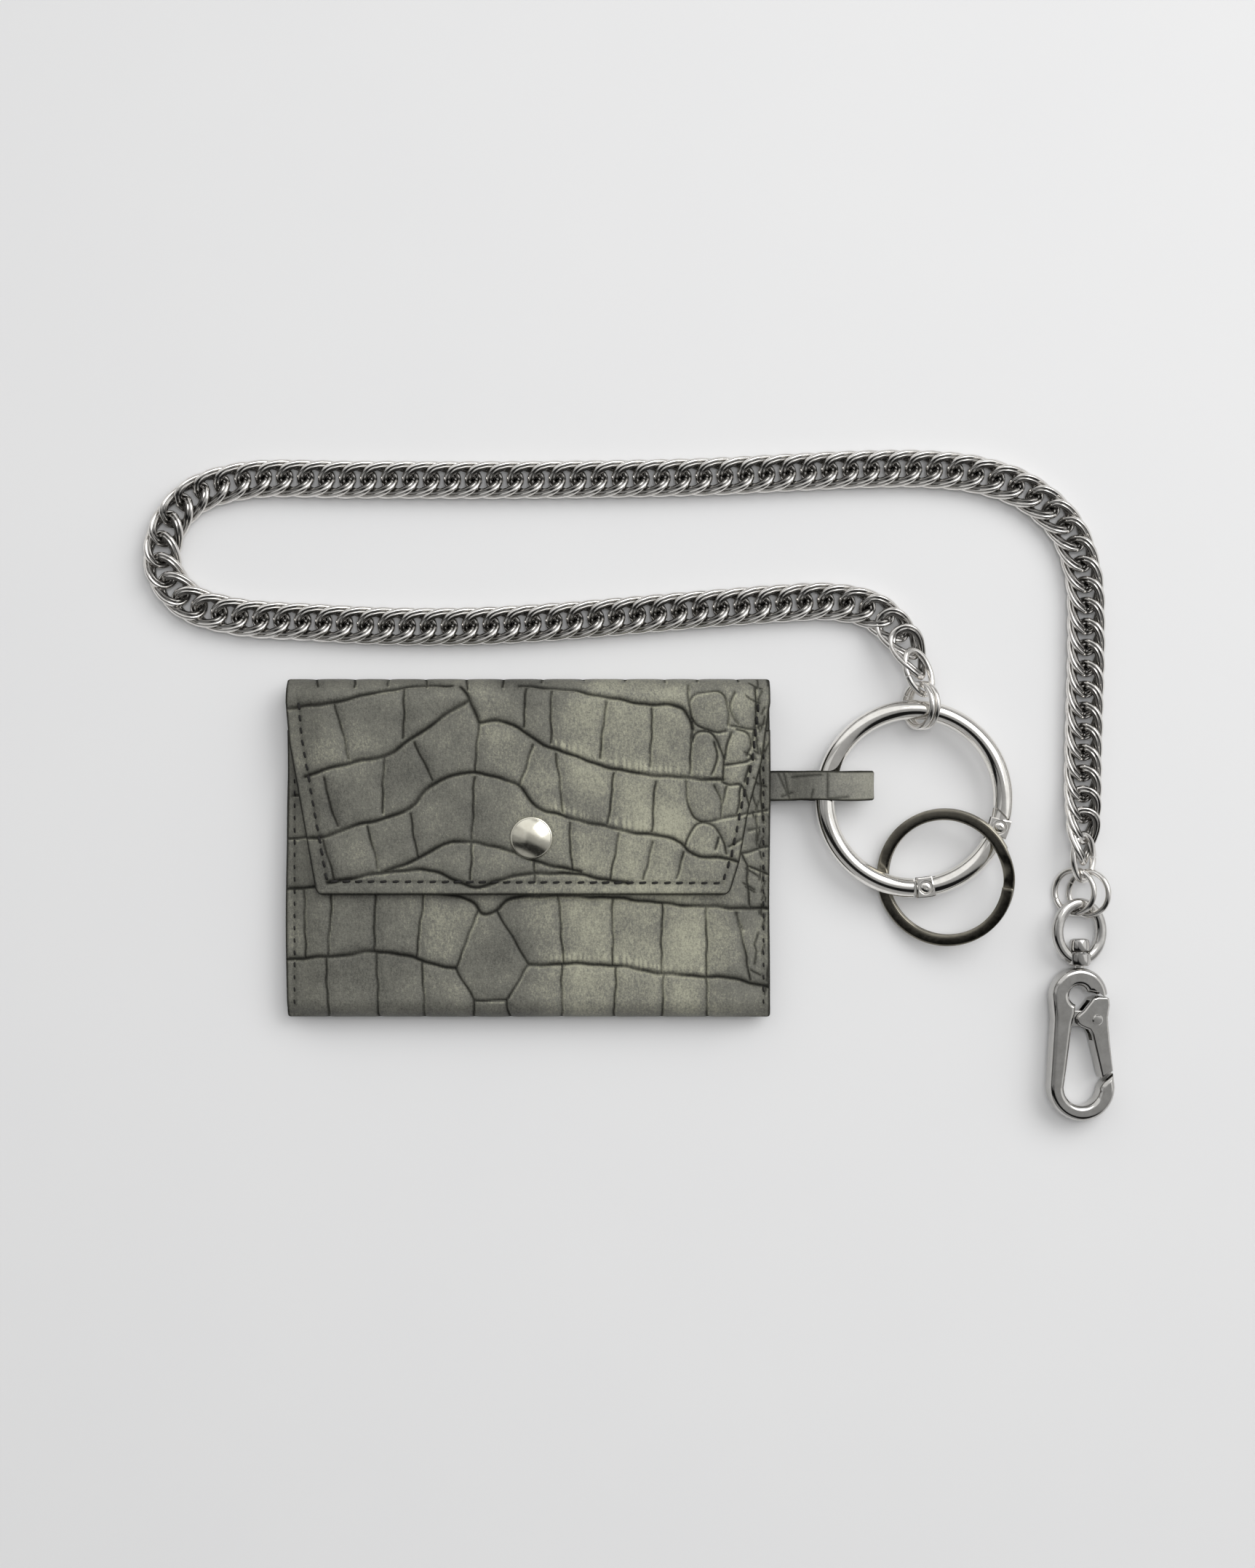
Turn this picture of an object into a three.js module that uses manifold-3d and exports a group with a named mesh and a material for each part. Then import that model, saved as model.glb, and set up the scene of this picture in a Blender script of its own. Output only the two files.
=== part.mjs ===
// Chain wallet: a small flap wallet of embossed leather, a strap with a spring-gate ring and a
// split key ring, and a woven curb chain that ends in a swivel snap hook.
// Millimetres, +Z up. The wallet lies on its back, and the origin is the centre of its back face.
import * as THREE from 'three';
import { mergeVertices } from 'three/addons/utils/BufferGeometryUtils.js';
import Module from 'manifold-3d';

const manifoldLibrary = await Module();
manifoldLibrary.setup();
const rad = THREE.MathUtils.degToRad;

// ---------------------------------------------------------------- driving dimensions
const WALLET = { width: 115, height: 80, leather: 1.4, lining: 0.4, pocket: 4.6, seam: 1.5, mouthY: 28 };
const GAP = 0.3;
const BACK_LINING_Z = WALLET.leather + GAP;
const POCKET_Z = BACK_LINING_Z + WALLET.lining;
const FRONT_LINING_Z = POCKET_Z + WALLET.pocket;
const FRONT_Z = FRONT_LINING_Z + WALLET.lining + GAP;
const FRONT_TOP = FRONT_Z + WALLET.leather;
const FLAP_LINING_Z = FRONT_TOP + GAP;
const FLAP_Z = FLAP_LINING_Z + WALLET.lining + GAP;
const FLAP_TOP = FLAP_Z + WALLET.leather;

const SNAP = {
  x: 0.9, y: 2.5, capRadius: 4.8, capRise: 1.7, socketRadius: 4.2, studRadius: 2.2, postRadius: 1.5,
};
const STRAP = {
  y: 14.8, width: 7, leather: 1.0, rootX: 59.1, loopX: 65, endX: 81.9, inside: 6.2, rootZ: 4.4,
};
const RING = { x: 91.3, y: 11.7, z: 6.3, radius: 21.1, wire: 2.3, hingeSeam: -90, latchSeam: -10 };
const RING_PIN = { hinge: -83, latch: -18.6, radius: 0.8, bore: 1.1 };
const KEY_RING = {
  x: 98.8, y: -6.9, radius: 15.05, band: 2.7, thick: 1.0, pitch: 1.2, lean: 18, towards: 19,
};
const LINK = { halfLength: 5.5, halfWidth: 3.5, wire: 0.75 };
const JUMP_RING = { radius: 5.15, wire: 0.7 };
const FIRST_LINK = { z: 6.7, roll: 36 };
const LAST_LINK = { z: 4.25, roll: -40 };
const CHAIN = { pieces: 16, width: 8.6, height: 4.4, z: 2.3, break: 1.6, linkRoom: 12.1 };
const START_RINGS = { lean: 56.5, centres: [[93.7, 33.8, 5.93], [92.3, 33.8, 6.87]] };
const END_RINGS = { lean: 36.4, centres: [[129.7, -10.4, 3.85], [133, -10.8, 4.4]] };
const SWIVEL = {
  x: 130.85, eyeY: -19.9, z: 4, lean: 15.7, halfWidth: 5.6, halfHeight: 6.7, wire: 1.2, bossRadius: 2.7,
  headRadius: 2.35,
};
const HOOK = { lean: 8, thick: 5.2, holeY: -34.9, pinRadius: 1.2 };

// The chain's middle line on the table, from the first single link to the last one.
const CHAIN_ROUTE = [
  [94.2, 36.5], [92.4, 41.6], [89.1, 49], [82.2, 56.2], [72, 58.6], [61, 58.3], [42, 56.9],
  [23.5, 55.3], [5, 53.8], [-14, 52.8], [-33, 52.8], [-51.5, 53.7], [-70.3, 55.2], [-81.5, 59.0],
  [-87, 66.8], [-86, 76], [-80, 83.4], [-68, 87.4], [-42, 87.7], [-14, 87.6], [14, 87.8],
  [42.2, 88.4], [62, 89.4], [79.8, 90.2], [95, 90.2], [107.9, 88.6], [119, 84.4], [128, 76],
  [132, 65], [132.7, 50], [132.3, 34], [131.9, 17], [131.8, 3.3], [131.7, -7.7],
];

// ---------------------------------------------------------------- materials
const leather = () => new THREE.MeshStandardMaterial({ color: 0x6f6f66, roughness: 0.6, metalness: 0 });
const lining = () => new THREE.MeshStandardMaterial({ color: 0x3f3f3b, roughness: 0.85, metalness: 0 });
const nickel = () => new THREE.MeshStandardMaterial({ color: 0xd2d0cc, roughness: 0.18, metalness: 1 });
const springSteel = () => new THREE.MeshStandardMaterial({ color: 0x9a9a9c, roughness: 0.35, metalness: 1 });

// ---------------------------------------------------------------- curves and geometry helpers
class OvalArc extends THREE.Curve {
  constructor(halfX, halfY, from, to) {
    super();
    Object.assign(this, { halfX, halfY, from: rad(from), to: rad(to) });
  }

  getPoint(t, target = new THREE.Vector3()) {
    const angle = THREE.MathUtils.lerp(this.from, this.to, t);
    return target.set(this.halfX * Math.cos(angle), this.halfY * Math.sin(angle), 0);
  }
}

class Span extends THREE.Curve {
  constructor(whole, from, to) {
    super();
    Object.assign(this, { whole, from, to });
  }

  getPoint(t, target = new THREE.Vector3()) {
    return this.whole.getPointAt(THREE.MathUtils.lerp(this.from, this.to, t), target);
  }
}

class Helix extends THREE.Curve {
  constructor(radius, length, turns) {
    super();
    Object.assign(this, { radius, length, turns });
  }

  getPoint(t, target = new THREE.Vector3()) {
    const angle = 2 * Math.PI * this.turns * t;
    return target.set(this.radius * Math.cos(angle), this.radius * Math.sin(angle), this.length * (t - 0.5));
  }
}

// Two flat turns of a split ring: one below, a short ramp, one above.
class SplitCoil extends THREE.Curve {
  getPoint(t, target = new THREE.Vector3()) {
    const [rampStart, rampEnd, end] = [330, 358, 686];
    const degrees = t * end;
    const risen = THREE.MathUtils.smoothstep(degrees, rampStart, rampEnd);
    const angle = rad(degrees + 20);
    const z = KEY_RING.pitch * (risen - 0.5);
    return target.set(KEY_RING.radius * Math.cos(angle), KEY_RING.radius * Math.sin(angle), z);
  }
}

const circleShape = (radius) => new THREE.Shape().absarc(0, 0, radius, 0, 2 * Math.PI);

function polygonShape(points) {
  return new THREE.Shape(points.map(([x, y]) => new THREE.Vector2(x, y)));
}

function roundWire(path, radius, sides, steps) {
  const section = circleShape(radius);
  return new THREE.ExtrudeGeometry(section, { extrudePath: path, steps, curveSegments: sides / 2 });
}

function plate(shape, zLow, zHigh, curveSegments = 10) {
  const options = { depth: zHigh - zLow, bevelEnabled: false, curveSegments };
  return new THREE.ExtrudeGeometry(shape, options).translate(0, 0, zLow);
}

// A side view drawn in (Y, Z) and carried across X from one side to the other.
function acrossX(shape, xLow, xHigh, curveSegments = 8) {
  const turn = new THREE.Matrix4().set(0, 0, 1, xLow, 1, 0, 0, 0, 0, 1, 0, 0, 0, 0, 0, 1);
  return plate(shape, 0, xHigh - xLow, curveSegments).applyMatrix4(turn);
}

function disc(radius, zLow, zHigh, x = 0, y = 0, sides = 20) {
  const body = new THREE.CylinderGeometry(radius, radius, zHigh - zLow, sides);
  return body.rotateX(Math.PI / 2).translate(x, y, (zLow + zHigh) / 2);
}

function arcPlate(radiusIn, radiusOut, from, to, halfThick) {
  const shape = new THREE.Shape().absarc(0, 0, radiusOut, rad(from), rad(to));
  shape.absarc(0, 0, radiusIn, rad(to), rad(from), true);
  return plate(shape, -halfThick, halfThick, 4);
}

function toSolid(geometry) {
  const bare = geometry.clone();
  bare.deleteAttribute('normal');
  bare.deleteAttribute('uv');
  const merged = mergeVertices(bare, 1e-4);
  const mesh = new manifoldLibrary.Mesh({
    numProp: 3,
    vertProperties: new Float32Array(merged.attributes.position.array),
    triVerts: new Uint32Array(merged.index.array),
  });
  return new manifoldLibrary.Manifold(mesh);
}

function toGeometry(solid) {
  const mesh = solid.getMesh();
  const geometry = new THREE.BufferGeometry();
  geometry.setAttribute('position', new THREE.BufferAttribute(mesh.vertProperties, 3));
  geometry.setIndex(new THREE.BufferAttribute(mesh.triVerts, 1));
  geometry.computeVertexNormals();
  return geometry;
}

function cut(geometry, ...tools) {
  return toGeometry(tools.reduce((solid, tool) => solid.subtract(toSolid(tool)), toSolid(geometry)));
}

function join(geometry, ...others) {
  return toGeometry(others.reduce((solid, other) => solid.add(toSolid(other)), toSolid(geometry)));
}

function common(geometry, other) {
  return toGeometry(toSolid(geometry).intersect(toSolid(other)));
}

function addMesh(parent, name, geometry, material) {
  const mesh = new THREE.Mesh(geometry, material);
  mesh.name = name;
  parent.add(mesh);
  return mesh;
}

function addGroup(parent, x, y, z) {
  const group = new THREE.Group();
  group.position.set(x, y, z);
  parent.add(group);
  return group;
}

// ---------------------------------------------------------------- wallet leather
const halfWidth = WALLET.width / 2;
const halfHeight = WALLET.height / 2;

// A sheet folded round the bottom: flat below, half round at the bottom fold, flat above.
function foldedSheet(zLow, zHigh, thick, backY, frontY) {
  const radius = (zHigh - zLow) / 2;
  const foldY = -halfHeight + FRONT_TOP / 2;
  const middle = zLow + radius;
  const shape = new THREE.Shape().moveTo(frontY, zHigh).lineTo(foldY, zHigh);
  shape.absarc(foldY, middle, radius, Math.PI / 2, 1.5 * Math.PI);
  shape.lineTo(backY, zLow).lineTo(backY, zLow + thick).lineTo(foldY, zLow + thick);
  shape.absarc(foldY, middle, radius - thick, 1.5 * Math.PI, Math.PI / 2, true);
  return shape.lineTo(frontY, zHigh - thick);
}

// A stretch of the half-round top fold, from one angle to another round its middle.
function topFold(from, to) {
  const radius = FLAP_TOP / 2;
  const [y, z] = [halfHeight - radius, radius];
  const shape = new THREE.Shape().absarc(y, z, radius, rad(from), rad(to));
  shape.absarc(y, z, radius - WALLET.leather, rad(to), rad(from), true);
  return shape;
}

function outerShell() {
  const foldStart = halfHeight - FLAP_TOP / 2;
  const bent = foldedSheet(0, FRONT_TOP, WALLET.leather, foldStart, WALLET.mouthY);
  const sheet = acrossX(bent, -halfWidth, halfWidth);
  const fold = acrossX(topFold(-90.5, -14), -halfWidth, halfWidth);
  const seamSide = foldedSheet(0, FRONT_TOP, FRONT_TOP / 2, WALLET.mouthY, WALLET.mouthY);
  const seams = [-halfWidth, halfWidth - WALLET.seam].map((x) => acrossX(seamSide, x, x + WALLET.seam));
  const shell = join(sheet, fold, ...seams);
  const postHole = disc(SNAP.postRadius + GAP, FRONT_Z - 1, FRONT_TOP + 1, SNAP.x, SNAP.y);
  const studRecess = disc(SNAP.socketRadius + GAP, FRONT_TOP - 0.6, FRONT_TOP + 1, SNAP.x, SNAP.y);
  return cut(shell, postHole, studRecess);
}

function pocketLining() {
  const reach = halfWidth - WALLET.seam - GAP;
  const high = FRONT_LINING_Z + WALLET.lining;
  const sheet = foldedSheet(BACK_LINING_Z, high, WALLET.lining, halfHeight - 6, WALLET.mouthY - 1);
  const postRoom = disc(SNAP.socketRadius + 0.4, FRONT_LINING_Z - 1, high + 1, SNAP.x, SNAP.y);
  return cut(acrossX(sheet, -reach, reach), postRoom);
}

// The flap seen from above: straight at the top, drawn in towards its lower corners.
const FLAP_OUTLINE = [
  [-halfWidth, halfHeight + 1], [-56.6, 24.8], [-49.7, -10.5], [47.4, -10.9], [49.9, -3],
  [52.1, 9.3], [55.2, 20.3], [halfWidth, halfHeight + 1],
];

function flap() {
  const hingeRadius = WALLET.leather / 2;
  const foldY = halfHeight - FLAP_TOP / 2;
  const topY = foldY + 0.05;
  const sheet = polygonShape([[-12, FLAP_Z], [topY, FLAP_Z], [topY, FLAP_TOP], [-12, FLAP_TOP]]);
  const root = new THREE.Shape();
  root.absarc(halfHeight - hingeRadius, FLAP_TOP / 2, hingeRadius, 0, 2 * Math.PI);
  const sides = [sheet, topFold(0, 90), root].map((shape) => acrossX(shape, -halfWidth, halfWidth));
  const trimmed = common(join(...sides), plate(polygonShape(FLAP_OUTLINE), -1, FLAP_TOP + 1));
  const socketRoom = disc(SNAP.socketRadius + GAP, FLAP_Z - 1, FLAP_TOP - 0.5, SNAP.x, SNAP.y);
  const capHole = disc(SNAP.postRadius, FLAP_TOP - 1, FLAP_TOP + 1, SNAP.x, SNAP.y);
  return cut(trimmed, socketRoom, capHole);
}

function flapLining() {
  const outline = polygonShape([
    [-55, 32], [-54.2, 22], [-48.4, -9.2], [46.2, -9.5], [50.5, 8.5], [54, 24], [55, 32],
  ]);
  const sheet = plate(outline, FLAP_LINING_Z, FLAP_LINING_Z + WALLET.lining);
  return cut(sheet, disc(SNAP.socketRadius + 0.4, FLAP_LINING_Z - 1, FLAP_Z, SNAP.x, SNAP.y));
}

// ---------------------------------------------------------------- snap fastener
function snapCap() {
  const [low, rim] = [FLAP_TOP + 0.1, 0.5];
  const profile = [[0, FLAP_TOP - 0.45], [1.2, FLAP_TOP - 0.45], [1.2, low], [SNAP.capRadius, low]];
  for (const share of [0, 0.3, 0.6, 0.85]) {
    const radius = SNAP.capRadius * Math.cos(share * Math.PI / 2);
    profile.push([radius, low + rim + (SNAP.capRise - rim) * Math.sin(share * Math.PI / 2)]);
  }
  profile.push([0, low + SNAP.capRise]);
  return turned(profile);
}

// A round piece of the snap from its profile of [radius, height] pairs.
function turned(profile, sides = 24) {
  const points = profile.map(([radius, z]) => new THREE.Vector2(radius, z));
  return new THREE.LatheGeometry(points, sides).rotateX(Math.PI / 2).translate(SNAP.x, SNAP.y, 0);
}

function snapSocket() {
  const [low, high] = [FRONT_TOP + 0.6, FRONT_TOP + 1.6];
  const [inner, outer] = [SNAP.studRadius + GAP, SNAP.socketRadius];
  return turned([[inner, low], [outer, low], [outer, high], [inner, high], [inner, low]]);
}

function snapStud() {
  const [base, top] = [FRONT_TOP - 0.3, FRONT_TOP + 1.6];
  const [neck, bore] = [FRONT_TOP + 0.3, SNAP.postRadius + 0.3];
  const boreTop = FRONT_TOP + 0.7;
  return turned([
    [0, boreTop], [bore, boreTop], [bore, base], [4.1, base], [4.1, neck],
    [SNAP.studRadius - 0.2, neck], [SNAP.studRadius, top - 0.5], [SNAP.studRadius - 0.4, top], [0, top],
  ], 20);
}

function snapStudPost() {
  const [low, high] = [FRONT_LINING_Z - 0.2, FRONT_LINING_Z + WALLET.lining];
  const top = FRONT_TOP + 0.4;
  const shank = SNAP.postRadius;
  return turned([[0, low], [4.3, low], [4.3, high], [shank, high], [shank, top], [0, top]], 20);
}

// ---------------------------------------------------------------- strap
// Side view in (X, Z): a round sewn root that opens into a loop round the ring.
function loopStrap() {
  const half = STRAP.inside / 2;
  const outer = half + STRAP.leather;
  const endX = STRAP.endX - outer;
  const shape = new THREE.Shape().moveTo(STRAP.rootX, STRAP.rootZ + STRAP.leather + 0.1);
  shape.absarc(STRAP.rootX, STRAP.rootZ, STRAP.leather + 0.1, Math.PI / 2, 1.5 * Math.PI);
  shape.lineTo(STRAP.loopX, RING.z - outer).lineTo(endX, RING.z - outer);
  shape.absarc(endX, RING.z, outer, -Math.PI / 2, Math.PI / 2).lineTo(STRAP.loopX, RING.z + outer);
  const hollow = new THREE.Path().moveTo(STRAP.loopX, RING.z - half).lineTo(endX, RING.z - half);
  hollow.absarc(endX, RING.z, half, -Math.PI / 2, Math.PI / 2).lineTo(STRAP.loopX, RING.z + half);
  hollow.lineTo(STRAP.rootX + 2, STRAP.rootZ + 0.5);
  shape.holes.push(hollow);
  return plate(shape, 0, STRAP.width, 8).rotateX(Math.PI / 2).translate(0, STRAP.y + STRAP.width / 2, 0);
}

// ---------------------------------------------------------------- gate ring
const onRing = (degrees) => [RING.radius * Math.cos(rad(degrees)), RING.radius * Math.sin(rad(degrees))];
const hingePoint = new THREE.Vector2(...onRing(RING_PIN.hinge));
const latchReach = hingePoint.distanceTo(new THREE.Vector2(...onRing(RING.latchSeam)));
const tongueReach = 1.9;

// The seam at the latch is cut to an arc round the gate's hinge, so that the gate swings clear of the body.
function latchSector(radius, from, to) {
  const { x, y } = hingePoint;
  const shape = new THREE.Shape().absarc(x, y, radius, rad(from), rad(to)).lineTo(x, y);
  return plate(shape, -4, 4, 24);
}

function ringBody() {
  const arc = new OvalArc(RING.radius, RING.radius, RING.latchSeam - 8, 360 + RING.hingeSeam);
  const wire = cut(roundWire(arc, RING.wire, 12, 34), latchSector(latchReach + GAP + 0.05, 24, 64));
  const [low, high] = [RING.radius - tongueReach, RING.radius + tongueReach];
  const hingeTongue = arcPlate(low, high, RING.hingeSeam - 4, RING_PIN.hinge + 5.4, 0.7);
  const latchTongue = arcPlate(low, high, RING_PIN.latch - 4, RING.latchSeam + 6, 0.7);
  const pinHole = disc(RING_PIN.bore, -2, 2, ...onRing(RING_PIN.hinge), 12);
  const notch = new THREE.BoxGeometry(2 * RING_PIN.bore, 5, 4).translate(0, 2.5, 0);
  notch.rotateZ(rad(39)).translate(...onRing(RING_PIN.latch), 0);
  const notchEnd = disc(RING_PIN.bore, -2, 2, ...onRing(RING_PIN.latch), 12);
  return cut(join(wire, hingeTongue, latchTongue), pinHole, notch, notchEnd);
}

const gateSpringLength = 7;

// The spring lies along the gate just past the hinge tongue.
function alongGate(geometry) {
  const degrees = RING_PIN.hinge + 19.4;
  return geometry.rotateX(-Math.PI / 2).rotateZ(rad(degrees)).translate(...onRing(degrees), 0);
}

function ringGate() {
  const arc = new OvalArc(RING.radius, RING.radius, RING.hingeSeam + 2.2, RING.latchSeam + 8);
  const wire = common(roundWire(arc, RING.wire, 12, 12), disc(latchReach, -4, 4, ...hingePoint, 72));
  const [low, high] = [RING.radius - 3, RING.radius + 3];
  const hingeSlot = arcPlate(low, high, RING.hingeSeam, RING_PIN.hinge + 9, 1.0);
  const latchSlot = arcPlate(low, high, RING_PIN.latch - 11, RING.latchSeam + 8, 1.0);
  const bores = [RING_PIN.hinge, RING_PIN.latch].map((at) => disc(RING_PIN.bore, -4, 4, ...onRing(at), 12));
  const springBore = alongGate(disc(1.5, -gateSpringLength / 2 - 1, gateSpringLength / 2 + 1, 0, 0, 10));
  return cut(wire, hingeSlot, latchSlot, springBore, ...bores);
}

function ringPin(degrees) {
  return disc(RING_PIN.radius, -RING.wire - 0.1, RING.wire + 0.1, ...onRing(degrees), 12);
}

function gateSpring(radius, length, turns) {
  return roundWire(new Helix(radius, length, turns), 0.2, 6, turns * 8);
}

// ---------------------------------------------------------------- rings and links of bent wire
function openRing(halfX, halfY, wire, sides, steps, opening) {
  const slit = 0.15 / Math.max(halfX, halfY) * (180 / Math.PI);
  return roundWire(new OvalArc(halfX, halfY, opening + slit, opening + 360 - slit), wire, sides, steps);
}

const jumpRing = (opening) => openRing(JUMP_RING.radius, JUMP_RING.radius, JUMP_RING.wire, 8, 22, opening);
const singleLink = () => openRing(LINK.halfLength, LINK.halfWidth, LINK.wire, 8, 22, 90);

function keyRing() {
  const section = polygonShape([
    [-KEY_RING.thick / 2, -KEY_RING.band / 2], [KEY_RING.thick / 2, -KEY_RING.band / 2],
    [KEY_RING.thick / 2, KEY_RING.band / 2], [-KEY_RING.thick / 2, KEY_RING.band / 2],
  ]);
  return new THREE.ExtrudeGeometry(section, { extrudePath: new SplitCoil(), steps: 72 });
}

// Two jump rings side by side, leaning over on the line of the chain.
function addJumpRings(parent, names, { lean, centres }) {
  names.forEach((name, n) => {
    const ring = addMesh(parent, name, jumpRing(n ? 150 : 200), nickel());
    ring.position.set(...centres[n]);
    ring.rotation.y = rad(-lean);
  });
}

// ---------------------------------------------------------------- chain
const routePoints = CHAIN_ROUTE.map(([x, y]) => new THREE.Vector3(x, y, CHAIN.z));
const route = new THREE.CatmullRomCurve3(routePoints, false, 'centripetal');
route.arcLengthDivisions = 1200;

function chainPiece(from, to) {
  const [high, wide, corner] = [CHAIN.height / 2, CHAIN.width / 2, 1.2];
  const section = polygonShape([
    [-high, -wide + corner], [-high + corner, -wide], [high - corner, -wide], [high, -wide + corner],
    [high, wide - corner], [high - corner, wide], [-high + corner, wide], [-high, wide - corner],
  ]);
  const length = route.getLength();
  const path = new Span(route, from / length, to / length);
  return new THREE.ExtrudeGeometry(section, { extrudePath: path, steps: 6 });
}

function addChain(parent) {
  const length = route.getLength();
  const room = length - 2 * CHAIN.linkRoom + CHAIN.break;
  const step = room / CHAIN.pieces;
  for (let n = 0; n < CHAIN.pieces; n += 1) {
    const from = CHAIN.linkRoom + n * step;
    const name = `chain_${String(n + 1).padStart(2, '0')}`;
    addMesh(parent, name, chainPiece(from, from + step - CHAIN.break), nickel());
  }
  addSingleLink(parent, 'first_link', LINK.halfLength, FIRST_LINK);
  addSingleLink(parent, 'last_link', length - LINK.halfLength, LAST_LINK);
}

// A single link on the route, rolled about its own length.
function addSingleLink(parent, name, at, { z, roll }) {
  const share = at / route.getLength();
  const point = route.getPointAt(share);
  const along = route.getTangentAt(share);
  const group = addGroup(parent, point.x, point.y, z);
  group.rotation.z = Math.atan2(along.y, along.x);
  addMesh(group, name, singleLink(), nickel()).rotation.x = rad(roll);
}

// ---------------------------------------------------------------- swivel and snap hook
const bossTop = -5.0;
const bossBottom = -8.0;
const postBore = 1.4;

// A round bar along Y between two heights.
function barAlongY(radius, yLow, yHigh, sides) {
  return new THREE.CylinderGeometry(radius, radius, yHigh - yLow, sides).translate(0, (yLow + yHigh) / 2, 0);
}

function swivelEye() {
  const oval = openRing(SWIVEL.halfWidth, SWIVEL.halfHeight, SWIVEL.wire, 10, 26, -90);
  const boss = barAlongY(SWIVEL.bossRadius, bossBottom, bossTop, 16);
  return cut(join(oval, boss), barAlongY(postBore, bossBottom - 1, bossTop + 1, 12));
}

// The rivet that the hook turns on: its head sits inside the eye and its tail in the hook's top.
function swivelPost() {
  const head = barAlongY(SWIVEL.headRadius, bossTop + GAP, bossTop + 3.4, 16);
  return join(head, barAlongY(postBore - GAP, bossBottom - 3.2, bossTop + 1, 12));
}

// The hook is drawn with its round hole at the origin and its length down -Y.
const hookHole = 2.3;

function hookBodyShape() {
  const shape = new THREE.Shape();
  shape.moveTo(7.2, 0.3);
  shape.absarc(0.3, -0.3, 6.8, rad(5), rad(168));
  shape.bezierCurveTo(-6.7, -3.5, -5.8, -5, -6.3, -9);
  shape.lineTo(-7.1, -21);
  shape.absarc(0.9, -21.8, 8, rad(176), rad(360));
  shape.lineTo(8.5, -18.6).lineTo(6.2, -20.4);
  shape.lineTo(5.1, -22.3);
  shape.absarc(0.8, -21.8, 4.4, rad(-8), rad(-180), true);
  shape.lineTo(-1.6, -6.9).lineTo(-0.6, -3.4);
  shape.absarc(0, 0, hookHole, rad(-100), rad(-345), true);
  shape.lineTo(4.4, 0.4);
  return shape;
}

const gatePivot = [4.4, -5.8];

// The middle tongue that carries the gate's pin.
function hookLugShape() {
  const [x, y] = gatePivot;
  const shape = new THREE.Shape().moveTo(-2.4, -4.0).lineTo(-2.2, -7.4);
  shape.lineTo(x, y - 1.9);
  return shape.absarc(x, y, 1.9, rad(-90), rad(100)).lineTo(-2.4, -4.0);
}

function hookBody() {
  const half = HOOK.thick / 2;
  const body = join(plate(hookBodyShape(), -half, half, 14), plate(hookLugShape(), -1, 1, 8));
  const pinHole = disc(HOOK.pinRadius + GAP, -2, 2, ...gatePivot, 12);
  const tailBore = barAlongY(postBore, 1.5, 8, 12).translate(0.7, 0, 0);
  return cut(body, pinHole, tailBore);
}

// The gate's head reaches over the tongue and up to the hook's nose; its arm closes the opening.
const hookGateShape = () => polygonShape([
  [8.3, -18.0], [7.3, -8.5], [7.1, -5.2], [7.5, -2.3], [7.3, -0.7], [6.6, -0.35], [4.6, -0.3], [3.4, -0.7],
  [2.6, -1.8], [1.2, -3.5], [-0.2, -4.7], [-0.6, -5.5], [-0.4, -6.7], [0.6, -7.4], [2.5, -8.2], [3.2, -9.4],
  [5.6, -19.6],
]);

function hookGate() {
  const half = HOOK.thick / 2;
  const gate = plate(hookGateShape(), -half, half, 10);
  const slot = new THREE.BoxGeometry(20, 9.5, 2.7).translate(gatePivot[0], gatePivot[1] - 0.4, 0);
  const springRoom = barAlongY(1.05, -4, 0.5, 10).rotateZ(rad(8)).translate(5.3, -10.4, 0);
  return cut(gate, slot, springRoom, disc(HOOK.pinRadius + GAP, -4, 4, ...gatePivot, 12));
}

const hookGatePin = () => disc(HOOK.pinRadius, -HOOK.thick / 2 - 0.2, HOOK.thick / 2 + 0.2, ...gatePivot, 14);

function hookGateSpring() {
  const coil = gateSpring(0.6, 3.4, 4).rotateX(Math.PI / 2);
  return coil.translate(0, -2, 0).rotateZ(rad(8)).translate(5.3, -10.4, 0);
}

// ---------------------------------------------------------------- assembly
function addWallet(parent) {
  addMesh(parent, 'outer_shell', outerShell(), leather());
  addMesh(parent, 'pocket_lining', pocketLining(), lining());
  addMesh(parent, 'flap', flap(), leather());
  addMesh(parent, 'flap_lining', flapLining(), lining());
  addMesh(parent, 'snap_cap', snapCap(), nickel());
  addMesh(parent, 'snap_socket', snapSocket(), nickel());
  addMesh(parent, 'snap_stud', snapStud(), nickel());
  addMesh(parent, 'snap_stud_post', snapStudPost(), nickel());
  addMesh(parent, 'loop_strap', loopStrap(), leather());
}

function addGateRing(parent) {
  const group = addGroup(parent, RING.x, RING.y, RING.z);
  addMesh(group, 'ring_body', ringBody(), nickel());
  addMesh(group, 'ring_gate', ringGate(), nickel());
  addMesh(group, 'ring_hinge_pin', ringPin(RING_PIN.hinge), nickel());
  addMesh(group, 'ring_latch_pin', ringPin(RING_PIN.latch), nickel());
  const spring = alongGate(gateSpring(0.95, gateSpringLength, 6));
  addMesh(group, 'ring_gate_spring', spring, springSteel());
}

function addKeyRing(parent) {
  const group = addGroup(parent, KEY_RING.x, KEY_RING.y, RING.z);
  group.rotation.z = rad(KEY_RING.towards);
  addMesh(group, 'key_ring', keyRing(), nickel()).rotation.y = rad(-KEY_RING.lean);
}

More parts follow.
